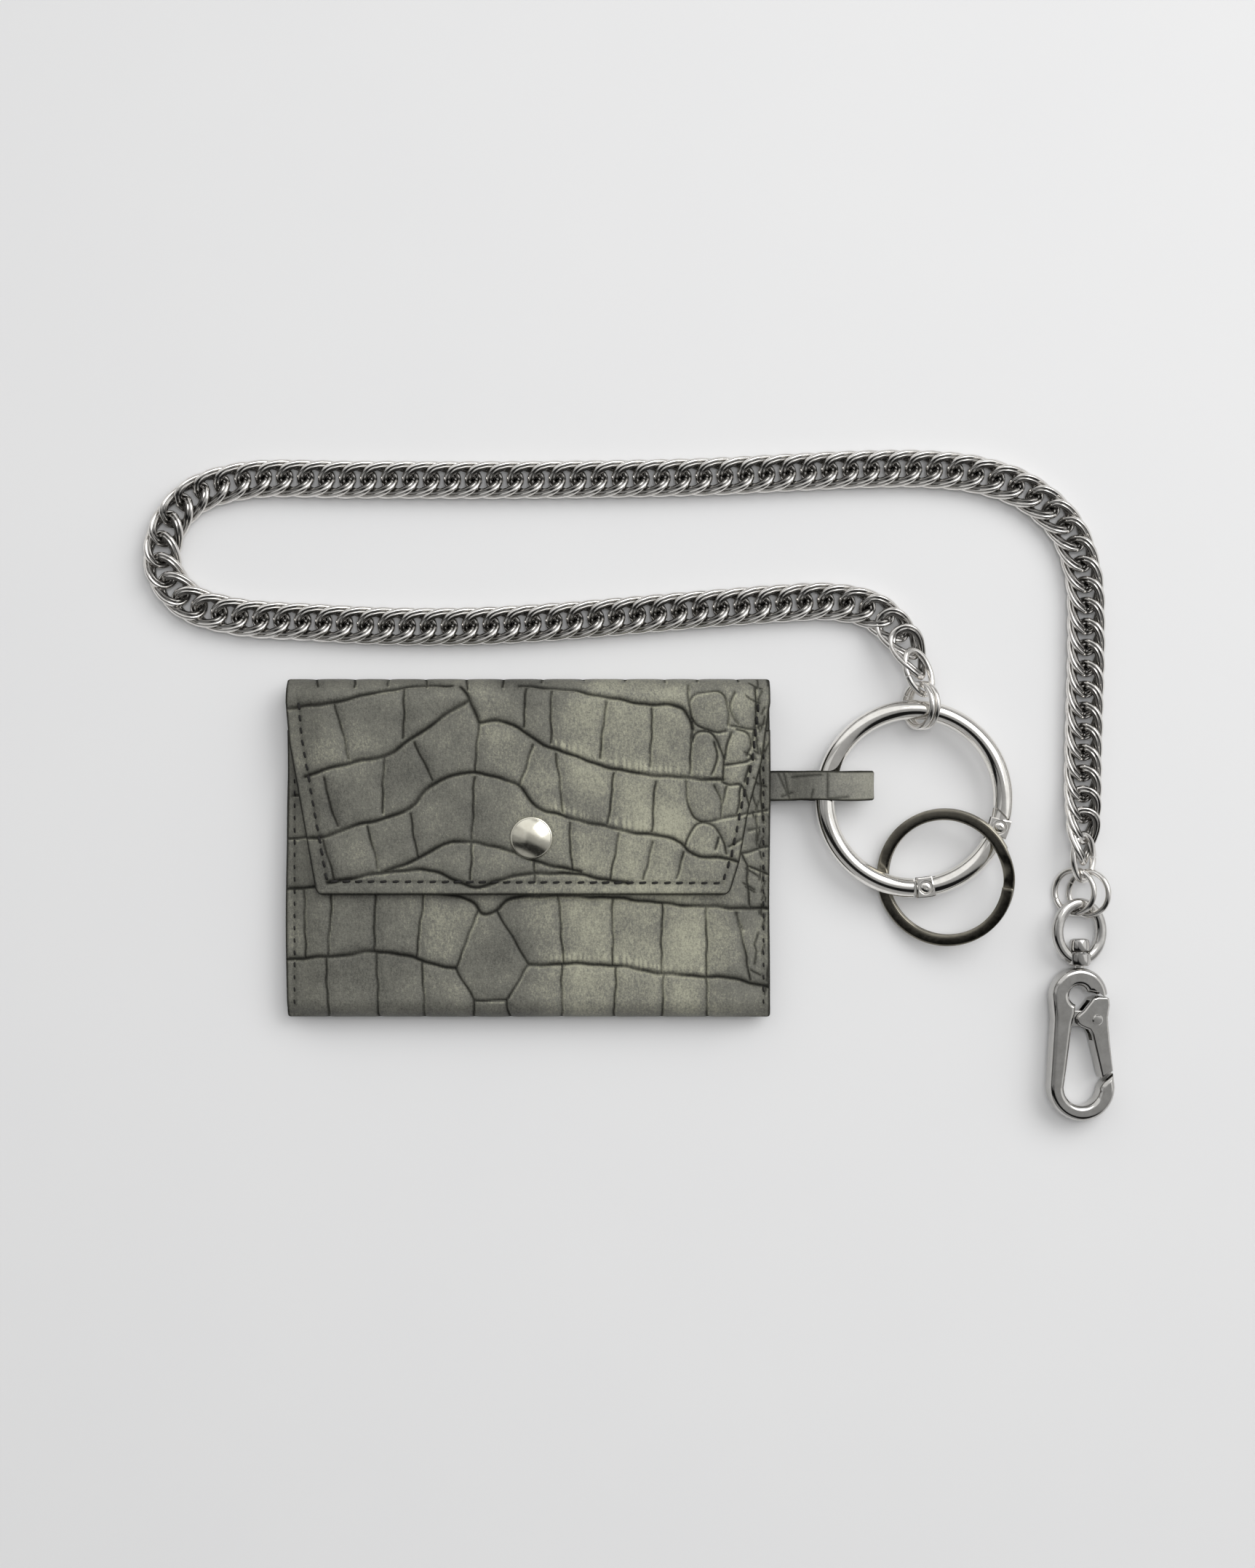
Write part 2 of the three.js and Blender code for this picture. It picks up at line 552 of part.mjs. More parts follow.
function addSwivelHook(parent) {
  const eye = addGroup(parent, SWIVEL.x, SWIVEL.eyeY, SWIVEL.z);
  eye.rotation.y = rad(SWIVEL.lean);
  addMesh(eye, 'swivel_eye', swivelEye(), nickel());
  const post = addGroup(parent, SWIVEL.x, SWIVEL.eyeY, SWIVEL.z);
  addMesh(post, 'swivel_post', swivelPost(), nickel());
  const turn = addGroup(parent, SWIVEL.x, HOOK.holeY, SWIVEL.z);
  turn.rotation.y = rad(HOOK.lean);
  const hook = addGroup(turn, -0.7, 0, 0);
  addMesh(hook, 'hook_body', hookBody(), nickel());
  addMesh(hook, 'hook_gate', hookGate(), nickel());
  addMesh(hook, 'hook_gate_pin', hookGatePin(), nickel());
  addMesh(hook, 'hook_gate_spring', hookGateSpring(), springSteel());
}

const chainWallet = new THREE.Group();
addWallet(chainWallet);
addGateRing(chainWallet);
addKeyRing(chainWallet);
addJumpRings(chainWallet, ['start_jump_ring_a', 'start_jump_ring_b'], START_RINGS);
addChain(chainWallet);
addJumpRings(chainWallet, ['end_jump_ring_a', 'end_jump_ring_b'], END_RINGS);
addSwivelHook(chainWallet);

export default chainWallet;
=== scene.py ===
"""Looks of the chain wallet: crocodile-embossed leather, bright nickel hardware and a woven curb chain.

Shapes are worked out in millimetres in the CAD frame and turned into metres when a mesh is made.
"""
import math

import bmesh
import bpy
import numpy as np
from mathutils import Matrix, Vector


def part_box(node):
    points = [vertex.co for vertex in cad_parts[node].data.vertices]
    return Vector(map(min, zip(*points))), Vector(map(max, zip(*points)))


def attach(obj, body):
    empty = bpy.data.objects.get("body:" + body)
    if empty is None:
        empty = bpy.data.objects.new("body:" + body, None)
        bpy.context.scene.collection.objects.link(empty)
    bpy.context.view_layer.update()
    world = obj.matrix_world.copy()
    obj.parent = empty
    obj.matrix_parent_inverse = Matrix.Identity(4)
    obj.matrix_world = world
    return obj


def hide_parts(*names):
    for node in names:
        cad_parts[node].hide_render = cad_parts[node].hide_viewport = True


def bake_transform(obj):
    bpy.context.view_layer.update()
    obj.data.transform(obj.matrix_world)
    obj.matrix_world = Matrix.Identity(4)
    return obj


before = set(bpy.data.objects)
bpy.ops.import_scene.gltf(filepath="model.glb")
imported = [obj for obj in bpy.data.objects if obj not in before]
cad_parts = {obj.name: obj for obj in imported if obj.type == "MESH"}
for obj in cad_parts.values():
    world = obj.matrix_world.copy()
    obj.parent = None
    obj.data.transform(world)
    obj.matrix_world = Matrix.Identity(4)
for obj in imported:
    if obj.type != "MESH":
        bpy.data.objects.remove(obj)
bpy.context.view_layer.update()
MM = 0.001


def node_box(*nodes):
    """Lowest and highest corner of some CAD nodes together, in millimetres."""
    lows, highs = zip(*(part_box(node) for node in nodes))
    return np.min(lows, axis=0) / MM, np.max(highs, axis=0) / MM


# ---------------------------------------------------------------- driving dimensions, in millimetres
shell_low, shell_high = node_box("outer_shell")
flap_low, flap_high = node_box("flap")
HALF_WIDTH = shell_high[0]
BOTTOM_Y = shell_low[1]
TOP_Y = flap_high[1]
FRONT_TOP = 8.8
FLAP_TOP = flap_high[2]
LEATHER = 1.4
LINING = 0.4
LINING_INSET = 1.7
LINING_MARGIN = 1.1
POCKET_END_V = -112
MOUTH_Y = 28.0
FLAP_END_Y = flap_low[1]
# At the sewn sides the layers sink towards SEAM_MIDDLE_Z: by SEAM_SINK if they are at least SEAM_INNER
# away from it, by less if they are closer. The sinking starts SEAM_REACH from the wallet's side.
SEAM_MIDDLE_Z = 4.4
SEAM_SINK = 2.6
SEAM_INNER = 3.0
SEAM_REACH = 10.0
EDGE_ROUND = 0.62
STITCH = {"pitch": 2.9, "length": 1.6, "radius": 0.3, "side_size": 0.72}

cap_low, cap_high = node_box("snap_cap")
SNAP_XY = (cap_low[:2] + cap_high[:2]) / 2
SOCKET_OPENING = 4.4

STRAP_Y = 14.8
STRAP_WIDTH = 7.0
STRAP_THICK = 1.0

RING = {"x": 91.3, "y": 11.7, "z": 6.3, "radius": 21.1, "wire": 2.3, "hinge_seam": -90, "latch_seam": -10}
RING_PIN = {"hinge": -83, "latch": -18.6}
KEY_RING = {
    "x": 98.8, "y": -6.9, "radius": 15.05, "band": 2.7, "thick": 1.0, "pitch": 1.2, "lean": 18, "towards": 19,
}
LINK = {"half_length": 5.5, "half_width": 3.5, "wire": 0.78}
JUMP_RING = {"radius": 5.15, "wire": 0.7}
FIRST_LINK = {"z": 6.7, "roll": 36}
LAST_LINK = {"z": 4.25, "roll": -40}
CHAIN = {"bars": 16, "z": 2.6, "break": 1.6, "link_room": 12.1}
CURB = {
    "half_length": 6.05, "half_width": 3.5, "twist": 1.6, "wide": 1.05, "thick": 0.86,
    "pitch": 5.0, "reach": 5.0, "rise": 26, "blend_reach": 8,
}
START_RINGS = {"lean": 56.5, "centres": [(93.7, 33.8, 5.93), (92.3, 33.8, 6.87)]}
END_RINGS = {"lean": 36.4, "centres": [(129.7, -10.4, 3.85), (133, -10.8, 4.4)]}
SWIVEL = {"x": 130.85, "eye_y": -19.9, "z": 4.0, "lean": 15.7, "half_width": 5.6, "half_height": 6.7}
HOOK = {"lean": 8, "thick": 5.2, "hole_y": -34.9, "shift": -0.7, "gate_pivot": (4.4, -5.8)}

# The chain's middle line on the table, from the first single link to the last one.
CHAIN_ROUTE = [
    (94.2, 36.5), (92.4, 41.6), (89.1, 49), (82.2, 56.2), (72, 58.6), (61, 58.3), (42, 56.9),
    (23.5, 55.3), (5, 53.8), (-14, 52.8), (-33, 52.8), (-51.5, 53.7), (-70.3, 55.2), (-81.5, 59.0),
    (-87, 66.8), (-86, 76), (-80, 83.4), (-68, 87.4), (-42, 87.7), (-14, 87.6), (14, 87.8),
    (42.2, 88.4), (62, 89.4), (79.8, 90.2), (95, 90.2), (107.9, 88.6), (119, 84.4), (128, 76),
    (132, 65), (132.7, 50), (132.3, 34), (131.9, 17), (131.8, 3.3), (131.7, -7.7),
]


# ---------------------------------------------------------------- mesh helpers
def smoothstep(value, low, high):
    share = np.clip((value - low) / (high - low), 0, 1)
    return share * share * (3 - 2 * share)


def make_piece(name, points, faces, material, sharp_angle=50):
    """A mesh piece from points in millimetres."""
    mesh = bpy.data.meshes.new(name)
    mesh.from_pydata((np.asarray(points, float) * MM).tolist(), [], [list(map(int, f)) for f in faces])
    edit = bmesh.new()
    edit.from_mesh(mesh)
    bmesh.ops.recalc_face_normals(edit, faces=edit.faces)
    edit.to_mesh(mesh)
    edit.free()
    mesh.shade_smooth()
    mesh.set_sharp_from_angle(angle=math.radians(sharp_angle))
    mesh.materials.append(material)
    remember_rest(mesh)
    piece = bpy.data.objects.new(name, mesh)
    bpy.context.scene.collection.objects.link(piece)
    return piece


def remember_rest(mesh):
    """Keeps each point's place at rest, in millimetres, for the materials' textures."""
    places = np.array([v.co for v in mesh.vertices], float) / MM
    attribute = mesh.attributes.new("rest", "FLOAT_VECTOR", "POINT")
    attribute.data.foreach_set("vector", places.astype(np.float32).ravel())


def set_values(piece, name, values):
    attribute = piece.data.attributes.new(name, "FLOAT", "POINT")
    attribute.data.foreach_set("value", np.asarray(values, np.float32))


def grid_faces(rows, columns, first=0, close_rows=False, close_columns=False):
    faces = []
    for i in range(rows if close_rows else rows - 1):
        for j in range(columns if close_columns else columns - 1):
            a, b = i * columns + j, i * columns + (j + 1) % columns
            c, d = ((i + 1) % rows) * columns + (j + 1) % columns, ((i + 1) % rows) * columns + j
            faces.append((first + a, first + b, first + c, first + d))
    return faces


def gather(parts):
    """Joins several (points, faces) into one."""
    points, faces, start = [], [], 0
    for part_points, part_faces in parts:
        points.append(np.asarray(part_points, float))
        faces += [tuple(start + v for v in face) for face in part_faces]
        start += len(part_points)
    return np.vstack(points), faces


def super_section(half_across, half_up, power, sides):
    """A closed section between an ellipse (power 2) and a rounded box (higher powers)."""
    angle = np.linspace(0, 2 * np.pi, sides, endpoint=False)
    c, s = np.cos(angle), np.sin(angle)
    across = half_across * np.sign(c) * np.abs(c) ** (2 / power)
    return np.c_[across, half_up * np.sign(s) * np.abs(s) ** (2 / power)]


def sweep(path, section, closed=False, end_round=0.12):
    """A section carried along a path, upright: its second direction stays as near +Z as it can."""
    path = np.asarray(path, float)
    if closed:
        along = np.roll(path, -1, axis=0) - np.roll(path, 1, axis=0)
    else:
        along = np.gradient(path, axis=0)
    along /= np.linalg.norm(along, axis=1)[:, None]
    up = np.array([0, 0, 1.0]) - along[:, 2:3] * along
    up /= np.linalg.norm(up, axis=1)[:, None]
    across = np.cross(along, up)
    if not closed:
        step = along[[0, -1]] * end_round
        path = np.vstack([path[0], path[0] + step[0], path[1:-1], path[-1] - step[1], path[-1]])
        across, up = (np.vstack([v[0], v[0], v[1:-1], v[-1], v[-1]]) for v in (across, up))
    scale = np.ones((len(path), 1, 1))
    if not closed:
        scale[[0, -1]] = 1 - end_round / np.abs(section).max()
    spread = across[:, None] * section[None, :, :1] + up[:, None] * section[None, :, 1:]
    points = (path[:, None] + scale * spread).reshape(-1, 3)
    sides = len(section)
    faces = grid_faces(len(path), sides, close_rows=closed, close_columns=True)
    if not closed:
        faces += [tuple(range(sides)), tuple(range(len(points) - sides, len(points)))]
    return points, faces


def oval_path(half_x, half_y, start, end, steps):
    """Points round an oval in the XY plane, between two angles in degrees."""
    angle = np.radians(np.linspace(start, end, steps))
    return np.c_[half_x * np.cos(angle), half_y * np.sin(angle), np.zeros(steps)]


def open_ring(half_x, half_y, wire, opening, steps=96, sides=20, slit=0.1):
    """A bent wire ring whose ends meet at the opening."""
    gap = math.degrees(slit / max(half_x, half_y))
    path = oval_path(half_x, half_y, opening + gap, opening + 360 - gap, steps)
    return sweep(path, super_section(wire, wire, 2, sides))


def lathe(profile, sides=48):
    """A round body about Z from its profile of (radius, height), which starts and ends on the axis."""
    profile = np.asarray(profile, float)
    angle = np.linspace(0, 2 * np.pi, sides, endpoint=False)
    inner = profile[1:-1]
    ring = np.stack([np.cos(angle), np.sin(angle)], axis=1)
    points = [np.c_[radius * ring, np.full(sides, z)] for radius, z in inner]
    points = np.vstack(points + [[[0, 0, profile[0][1]], [0, 0, profile[-1][1]]]])
    faces = grid_faces(len(inner), sides, close_columns=True)
    first, last = len(points) - 2, len(points) - 1
    start = (len(inner) - 1) * sides
    for j in range(sides):
        faces.append((first, (j + 1) % sides, j))
        faces.append((last, start + j, start + (j + 1) % sides))
    return points, faces


def arc(x, y, radius, start, end, steps):
    angle = np.radians(np.linspace(start, end, steps))
    return np.c_[x + radius * np.cos(angle), y + radius * np.sin(angle)].tolist()


def slab(outline, half_thick, bevel, segments=4):
    """An outline in XY given a thickness, with rounded edges, as (points, faces)."""
    edit = bmesh.new()
    loop = [edit.verts.new((x, y, -half_thick)) for x, y in outline]
    face = edit.faces.new(loop)
    grown = bmesh.ops.extrude_face_region(edit, geom=[face])
    lifted = [v for v in grown["geom"] if isinstance(v, bmesh.types.BMVert)]
    bmesh.ops.translate(edit, verts=lifted, vec=(0, 0, 2 * half_thick))
    rims = [e for e in edit.edges if abs(e.verts[0].co.z - e.verts[1].co.z) < 1e-6]
    bmesh.ops.bevel(edit, geom=rims, offset=bevel, segments=segments, profile=0.5, affect="EDGES",
                    clamp_overlap=False)
    edit.verts.index_update()
    points = np.array([v.co for v in edit.verts], float)
    faces = [tuple(v.index for v in f.verts) for f in edit.faces]
    edit.free()
    return points, faces


def turn(axis, degrees):
    return np.array(Matrix.Rotation(math.radians(degrees), 3, axis))


def placed(part, rotation, centre):
    points, faces = part
    return np.asarray(points, float) @ np.asarray(rotation).T + np.asarray(centre, float), faces


UPRIGHT = np.eye(3)
OVER = turn("X", 180)
Z_TO_Y = turn("X", -90)


def combine(part, others, operation):
    """The first part with the others cut from it or joined to it, as (points, faces)."""
    made = []
    for points, faces in (part, *others):
        mesh = bpy.data.meshes.new("part")
        mesh.from_pydata(np.asarray(points, float).tolist(), [], [list(map(int, f)) for f in faces])
        edit = bmesh.new()
        edit.from_mesh(mesh)
        bmesh.ops.recalc_face_normals(edit, faces=edit.faces)
        edit.to_mesh(mesh)
        edit.free()
        made.append(bpy.data.objects.new("part", mesh))
        bpy.context.scene.collection.objects.link(made[-1])
    for other in made[1:]:
        modifier = made[0].modifiers.new("cut", "BOOLEAN")
        modifier.operation = operation
        modifier.solver = "EXACT"
        modifier.object = other
    result = made[0].evaluated_get(bpy.context.evaluated_depsgraph_get()).to_mesh()
    points = np.array([v.co for v in result.vertices], float)
    faces = [tuple(f.vertices) for f in result.polygons]
    for each in made:
        bpy.data.objects.remove(each)
    return points, faces


def curve_through(points, steps_each=12):
    """A smooth centripetal Catmull-Rom curve through the points."""
    points = np.asarray(points, float)
    whole = np.vstack([2 * points[0] - points[1], points, 2 * points[-1] - points[-2]])
    found = []
    for p0, p1, p2, p3 in zip(whole, whole[1:], whole[2:], whole[3:]):
        t1 = np.linalg.norm(p1 - p0) ** 0.5
        t2 = t1 + np.linalg.norm(p2 - p1) ** 0.5
        t3 = t2 + np.linalg.norm(p3 - p2) ** 0.5
        t = np.linspace(t1, t2, steps_each, endpoint=False)[:, None]
        a1 = (t1 - t) / t1 * p0 + t / t1 * p1
        a2 = (t2 - t) / (t2 - t1) * p1 + (t - t1) / (t2 - t1) * p2
        a3 = (t3 - t) / (t3 - t2) * p2 + (t - t2) / (t3 - t2) * p3
        b1 = (t2 - t) / t2 * a1 + t / t2 * a2
        b2 = (t3 - t) / (t3 - t1) * a2 + (t - t1) / (t3 - t1) * a3
        found.append((t2 - t) / (t2 - t1) * b1 + (t - t1) / (t2 - t1) * b2)
    return np.vstack(found + [points[-1:]])


class Line:
    """A curve measured along its length."""

    def __init__(self, points):
        self.points = np.asarray(points, float)
        steps = np.linalg.norm(np.diff(self.points, axis=0), axis=1)
        self.at = np.concatenate([[0], np.cumsum(steps)])
        self.length = self.at[-1]

    def point(self, distance):
        return np.stack([np.interp(distance, self.at, column) for column in self.points.T], axis=-1)

    def along(self, distance):
        step = self.point(distance + 0.3) - self.point(distance - 0.3)
        return step / np.linalg.norm(step, axis=-1, keepdims=True)


# ---------------------------------------------------------------- materials
def new_material(name):
    material = bpy.data.materials.new(name)
    material.use_nodes = True
    tree = material.node_tree
    return material, tree, tree.nodes["Principled BSDF"]


def add_node(tree, kind, **settings):
    node = tree.nodes.new(kind)
    for key, value in settings.items():
        if hasattr(node, key):
            setattr(node, key, value)
        else:
            node.inputs[key].default_value = value
    return node


def rest_places(tree):
    return add_node(tree, "ShaderNodeAttribute", attribute_name="rest").outputs["Vector"]


def noise(tree, scale, detail=4.0, roughness=0.55, stretch=(1, 1, 1)):
    """Noise in the piece's rest places: scale is in features per millimetre."""
    node = add_node(tree, "ShaderNodeTexNoise", Scale=scale, Detail=detail, Roughness=roughness)
    mapping = add_node(tree, "ShaderNodeMapping", Scale=stretch)
    tree.links.new(rest_places(tree), mapping.inputs["Vector"])
    tree.links.new(mapping.outputs["Vector"], node.inputs["Vector"])
    return node.outputs["Fac"]


def stretched(tree, value, low, high, to_low=0.0, to_high=1.0):
    node = add_node(tree, "ShaderNodeMapRange")
    tree.links.new(value, node.inputs["Value"])
    for key, number in (("From Min", low), ("From Max", high), ("To Min", to_low), ("To Max", to_high)):
        node.inputs[key].default_value = number
    return node.outputs["Result"]


def mixed(tree, share, first, second):
    """Two colours, or links to colours, mixed by a share."""
    node = add_node(tree, "ShaderNodeMix", data_type="RGBA")
    sockets = {"Factor": node.inputs[0], "A": node.inputs[6], "B": node.inputs[7]}
    for key, value in (("Factor", share), ("A", first), ("B", second)):
        if isinstance(value, bpy.types.NodeSocket):
            tree.links.new(value, sockets[key])
        elif isinstance(value, tuple):
            sockets[key].default_value = (*value, 1)
        else:
            sockets[key].default_value = value
    return node.outputs[2]


def total(tree, first, second, operation="ADD"):
    node = add_node(tree, "ShaderNodeMath", operation=operation)
    for slot_number, value in enumerate((first, second)):
        if isinstance(value, bpy.types.NodeSocket):
            tree.links.new(value, node.inputs[slot_number])
        else:
            node.inputs[slot_number].default_value = value
    return node.outputs[0]


def add_bump(tree, shader, height, strength, distance):
    bump = add_node(tree, "ShaderNodeBump", Strength=strength, Distance=distance)
    tree.links.new(height, bump.inputs["Height"])
    tree.links.new(bump.outputs["Normal"], shader.inputs["Normal"])


def leather_material(name, dark, middle, light):
    """Waxy taupe leather: cloudy tone, rubbed lighter on the scales, nearly black in the grooves; the per-point
    tone it reads also holds painted highlights and painted shade.
    """
    material, tree, shader = new_material(name)
    clouds = stretched(tree, noise(tree, 0.07, 5, 0.65), 0.35, 0.65)
    mottle = stretched(tree, noise(tree, 1.3, 5, 0.8, (1.6, 0.6, 1)), 0.34, 0.66)
    grit = stretched(tree, noise(tree, 2.4, 3, 0.7), 0.38, 0.62)
    specks = stretched(tree, noise(tree, 2.6, 2, 0.5), 0.62, 0.72)
    # This per-point tone holds the rubbed lighter scales and also painted highlights beside the grooves and on
    # the right half, and painted shade by the left edge and the folds.
    polish_and_painted_light = add_node(tree, "ShaderNodeAttribute", attribute_name="polish_and_painted_light").outputs["Fac"]
    groove = add_node(tree, "ShaderNodeAttribute", attribute_name="groove").outputs["Fac"]
    tone = total(tree, total(tree, clouds, 0.5, "MULTIPLY"), polish_and_painted_light)
    tone = total(tree, tone, total(tree, mottle, 0.5, "MULTIPLY"))
    tone = total(tree, tone, total(tree, grit, 0.36, "MULTIPLY"))
    colour = mixed(tree, stretched(tree, tone, 0.45, 1.25), dark, middle)
    colour = mixed(tree, stretched(tree, tone, 1.25, 2.0), colour, light)
    colour = mixed(tree, total(tree, specks, 0.35, "MULTIPLY"), colour, tuple(0.35 * c for c in dark))
    # The groove value also darkens the cut edges, partly edge dye and partly a painted shadow line.
    colour = mixed(tree, total(tree, groove, 0.96, "MULTIPLY"), colour, (0.005, 0.005, 0.0045))
    tree.links.new(colour, shader.inputs["Base Color"])
    rough = stretched(tree, total(tree, mottle, groove), 0, 1.6, 0.42, 0.75)
    tree.links.new(rough, shader.inputs["Roughness"])
    shine = stretched(tree, groove, 0, 0.7, 0.32, 0.03)
    tree.links.new(shine, shader.inputs["Specular IOR Level"])
    grain = total(tree, noise(tree, 3.2, 3, 0.6), total(tree, noise(tree, 0.8, 3, 0.6), 0.8, "MULTIPLY"))
    add_bump(tree, shader, grain, 0.7, 0.00014)
    return material


def lining_material():
    """Dark woven lining."""
    material, tree, shader = new_material("lining_cloth")
    place = rest_places(tree)
    waves = []
    for direction in ("X", "Y"):
        wave = add_node(tree, "ShaderNodeTexWave", bands_direction=direction, Scale=0.6, Distortion=0.4)
        tree.links.new(place, wave.inputs["Vector"])
        waves.append(wave.outputs["Fac"])
    weave = total(tree, waves[0], waves[1], "MULTIPLY")
    colour = mixed(tree, weave, (0.018, 0.018, 0.017), (0.05, 0.049, 0.045))
    tree.links.new(colour, shader.inputs["Base Color"])
    shader.inputs["Roughness"].default_value = 0.85
    shader.inputs["Sheen Weight"].default_value = 0.25
    add_bump(tree, shader, weave, 0.5, 0.0001)
    return material


def metal_material(name, colour, shade, rough_low, rough_high, scratches=0.12):
    """Plated metal: slight change of colour and gloss from place to place, with painted shade in its recesses.
    """
    material, tree, shader = new_material(name)
    shader.inputs["Metallic"].default_value = 1.0
    tarnish = stretched(tree, noise(tree, 0.35, 5, 0.6), 0.4, 0.7)
    recess_shade = add_node(tree, "ShaderNodeAttribute", attribute_name="recess_shade").outputs["Fac"]
    plated = mixed(tree, tarnish, colour, shade)
    # Painted shade: a per-point value darkens the chain links where neighbouring links overlap and along the
    # wire's middle groove.
    tree.links.new(mixed(tree, recess_shade, plated, (0.1, 0.095, 0.087)), shader.inputs["Base Color"])
    rough = stretched(tree, noise(tree, 1.1, 5, 0.65), 0.3, 0.7, rough_low, rough_high)
    tree.links.new(rough, shader.inputs["Roughness"])
    add_bump(tree, shader, noise(tree, 1.6, 6, 0.6), scratches, 0.00004)
    return material


def thread_material():
    """Dark waxed thread with its twist."""
    material, tree, shader = new_material("waxed_thread")
    twist = noise(tree, 4.0, 2, 0.5)
    colour = mixed(tree, twist, (0.004, 0.004, 0.004), (0.018, 0.017, 0.015))
    tree.links.new(colour, shader.inputs["Base Color"])
    shader.inputs["Roughness"].default_value = 0.8
    add_bump(tree, shader, twist, 0.5, 0.0001)
    return material


wallet_leather = leather_material(
    "wallet_leather", dark=(0.071, 0.07, 0.061), middle=(0.172, 0.17, 0.143), light=(0.4, 0.395, 0.3))
strap_leather = leather_material(
    "strap_leather", dark=(0.085, 0.083, 0.074), middle=(0.17, 0.168, 0.146), light=(0.3, 0.295, 0.245))
cloth = lining_material()
nickel = metal_material("bright_nickel", (0.86, 0.84, 0.8), (0.76, 0.74, 0.7), 0.05, 0.11, 0.05)
chain_nickel = metal_material("chain_nickel", (0.84, 0.82, 0.79), (0.66, 0.64, 0.61), 0.1, 0.24)
hook_nickel = metal_material("cast_nickel", (0.55, 0.54, 0.52), (0.46, 0.45, 0.43), 0.06, 0.13, 0.04)
cream_nickel = metal_material("cream_nickel", (0.78, 0.76, 0.65), (0.7, 0.67, 0.57), 0.16, 0.26)
dark_nickel = metal_material("ring_steel", (0.32, 0.3, 0.25), (0.22, 0.205, 0.17), 0.12, 0.24)
steel = metal_material("spring_steel", (0.5, 0.5, 0.5), (0.38, 0.38, 0.39), 0.2, 0.35)
thread = thread_material()

# ---------------------------------------------------------------- crocodile embossing
# Grooves are lines in (x, v). On the front of the wallet v is y; past a fold it runs on as the sheet's length.
FLAP_ROWS = [
    [(-58, 33), (-48, 34), (-37, 36.5), (-28, 38.5), (-18, 39)],
    [(-2, 38.8), (9.5, 37.6), (20.5, 35.3), (29, 33.9), (34, 33.7), (36.6, 33), (38, 30.6), (38.6, 28.2)],
    [(-52.5, 17), (-42, 20.2), (-34, 21.7), (-27, 26), (-21.5, 30), (-14, 34.6)],
    [(-11.4, 29.8), (-7, 30), (-2, 28.3), (4, 24.4), (9.5, 22.3), (21, 18.6), (33, 17), (46, 16.2)],
    [(-54.5, 2), (-47.5, 3), (-41, 5.3), (-28, 9.3), (-22.5, 15), (-17, 17.5), (-13.4, 17.8), (-6, 16.6),
     (-2, 14.7),
     (2.5, 9.7), (8, 7.8), (21, 4.6), (36, 1.6), (38, -0.7), (42, -2), (45, -2.1), (50, -3.3)],
    [(-34, -5.5), (-29.5, -3.8), (-25, -2), (-20, 1), (-12.7, 1.5), (-6, 0), (1.5, -2.8), (12.5, -5.5)],
    [(-47, -8), (-39.5, -6.6), (-28, -5), (-21.5, -5.5), (-12, -9.2), (-7, -7.4), (-1.5, -6.2),
     (9.5, -5.8), (23.5, -8.2)],
    [(-16, 38.5), (-14, 36), (-12.8, 33), (-11.4, 29.8)],
]
FLAP_CROSSES = [
    ((-29, 37.5), (-29.2, 26)), ((-45.2, 33.8), (-42, 21.4)), ((-0.3, 38), (-1, 28.8)), ((5.5, 37.3),
    (5.5, 24.9)),
    ((18.4, 34.6), (17, 21.4)), ((29.3, 33), (28.8, 19.4)), ((-33.7, 21.4), (-34.2, 8.6)), ((-26.5, 24.8),
    (-22.4, 16)),
    ((-11.4, 29.8), (-12.5, 17.8)), ((1.3, 24.5), (-1.8, 15.1)), ((6.7, 22.2), (8.3, 8.6)), ((20.3, 17.8),
    (18.9, 5.8)),
    ((30, 15.9), (29.2, 3.9)), ((-48, 16.6), (-44.8, 5.3)), ((-12.5, 16.6), (-13.1, 2.3)), ((9.8, 6.2),
    (10.4, -4.9)),
    ((-37.6, 5.4), (-35.2, -4.7)), ((-27.5, 8.1), (-25.8, -2)), ((21.4, 3.5), (19.5, -7)), ((29.4, 1.6),
    (27.2, -7)),
    ((36.6, -0.8), (35, -7)), ((-48, 2), (-45.3, -7.8)), ((-13.1, 1.5), (-13.5, -7.3)), ((1.4, -2.8),
    (1.7, -7.6)),
]
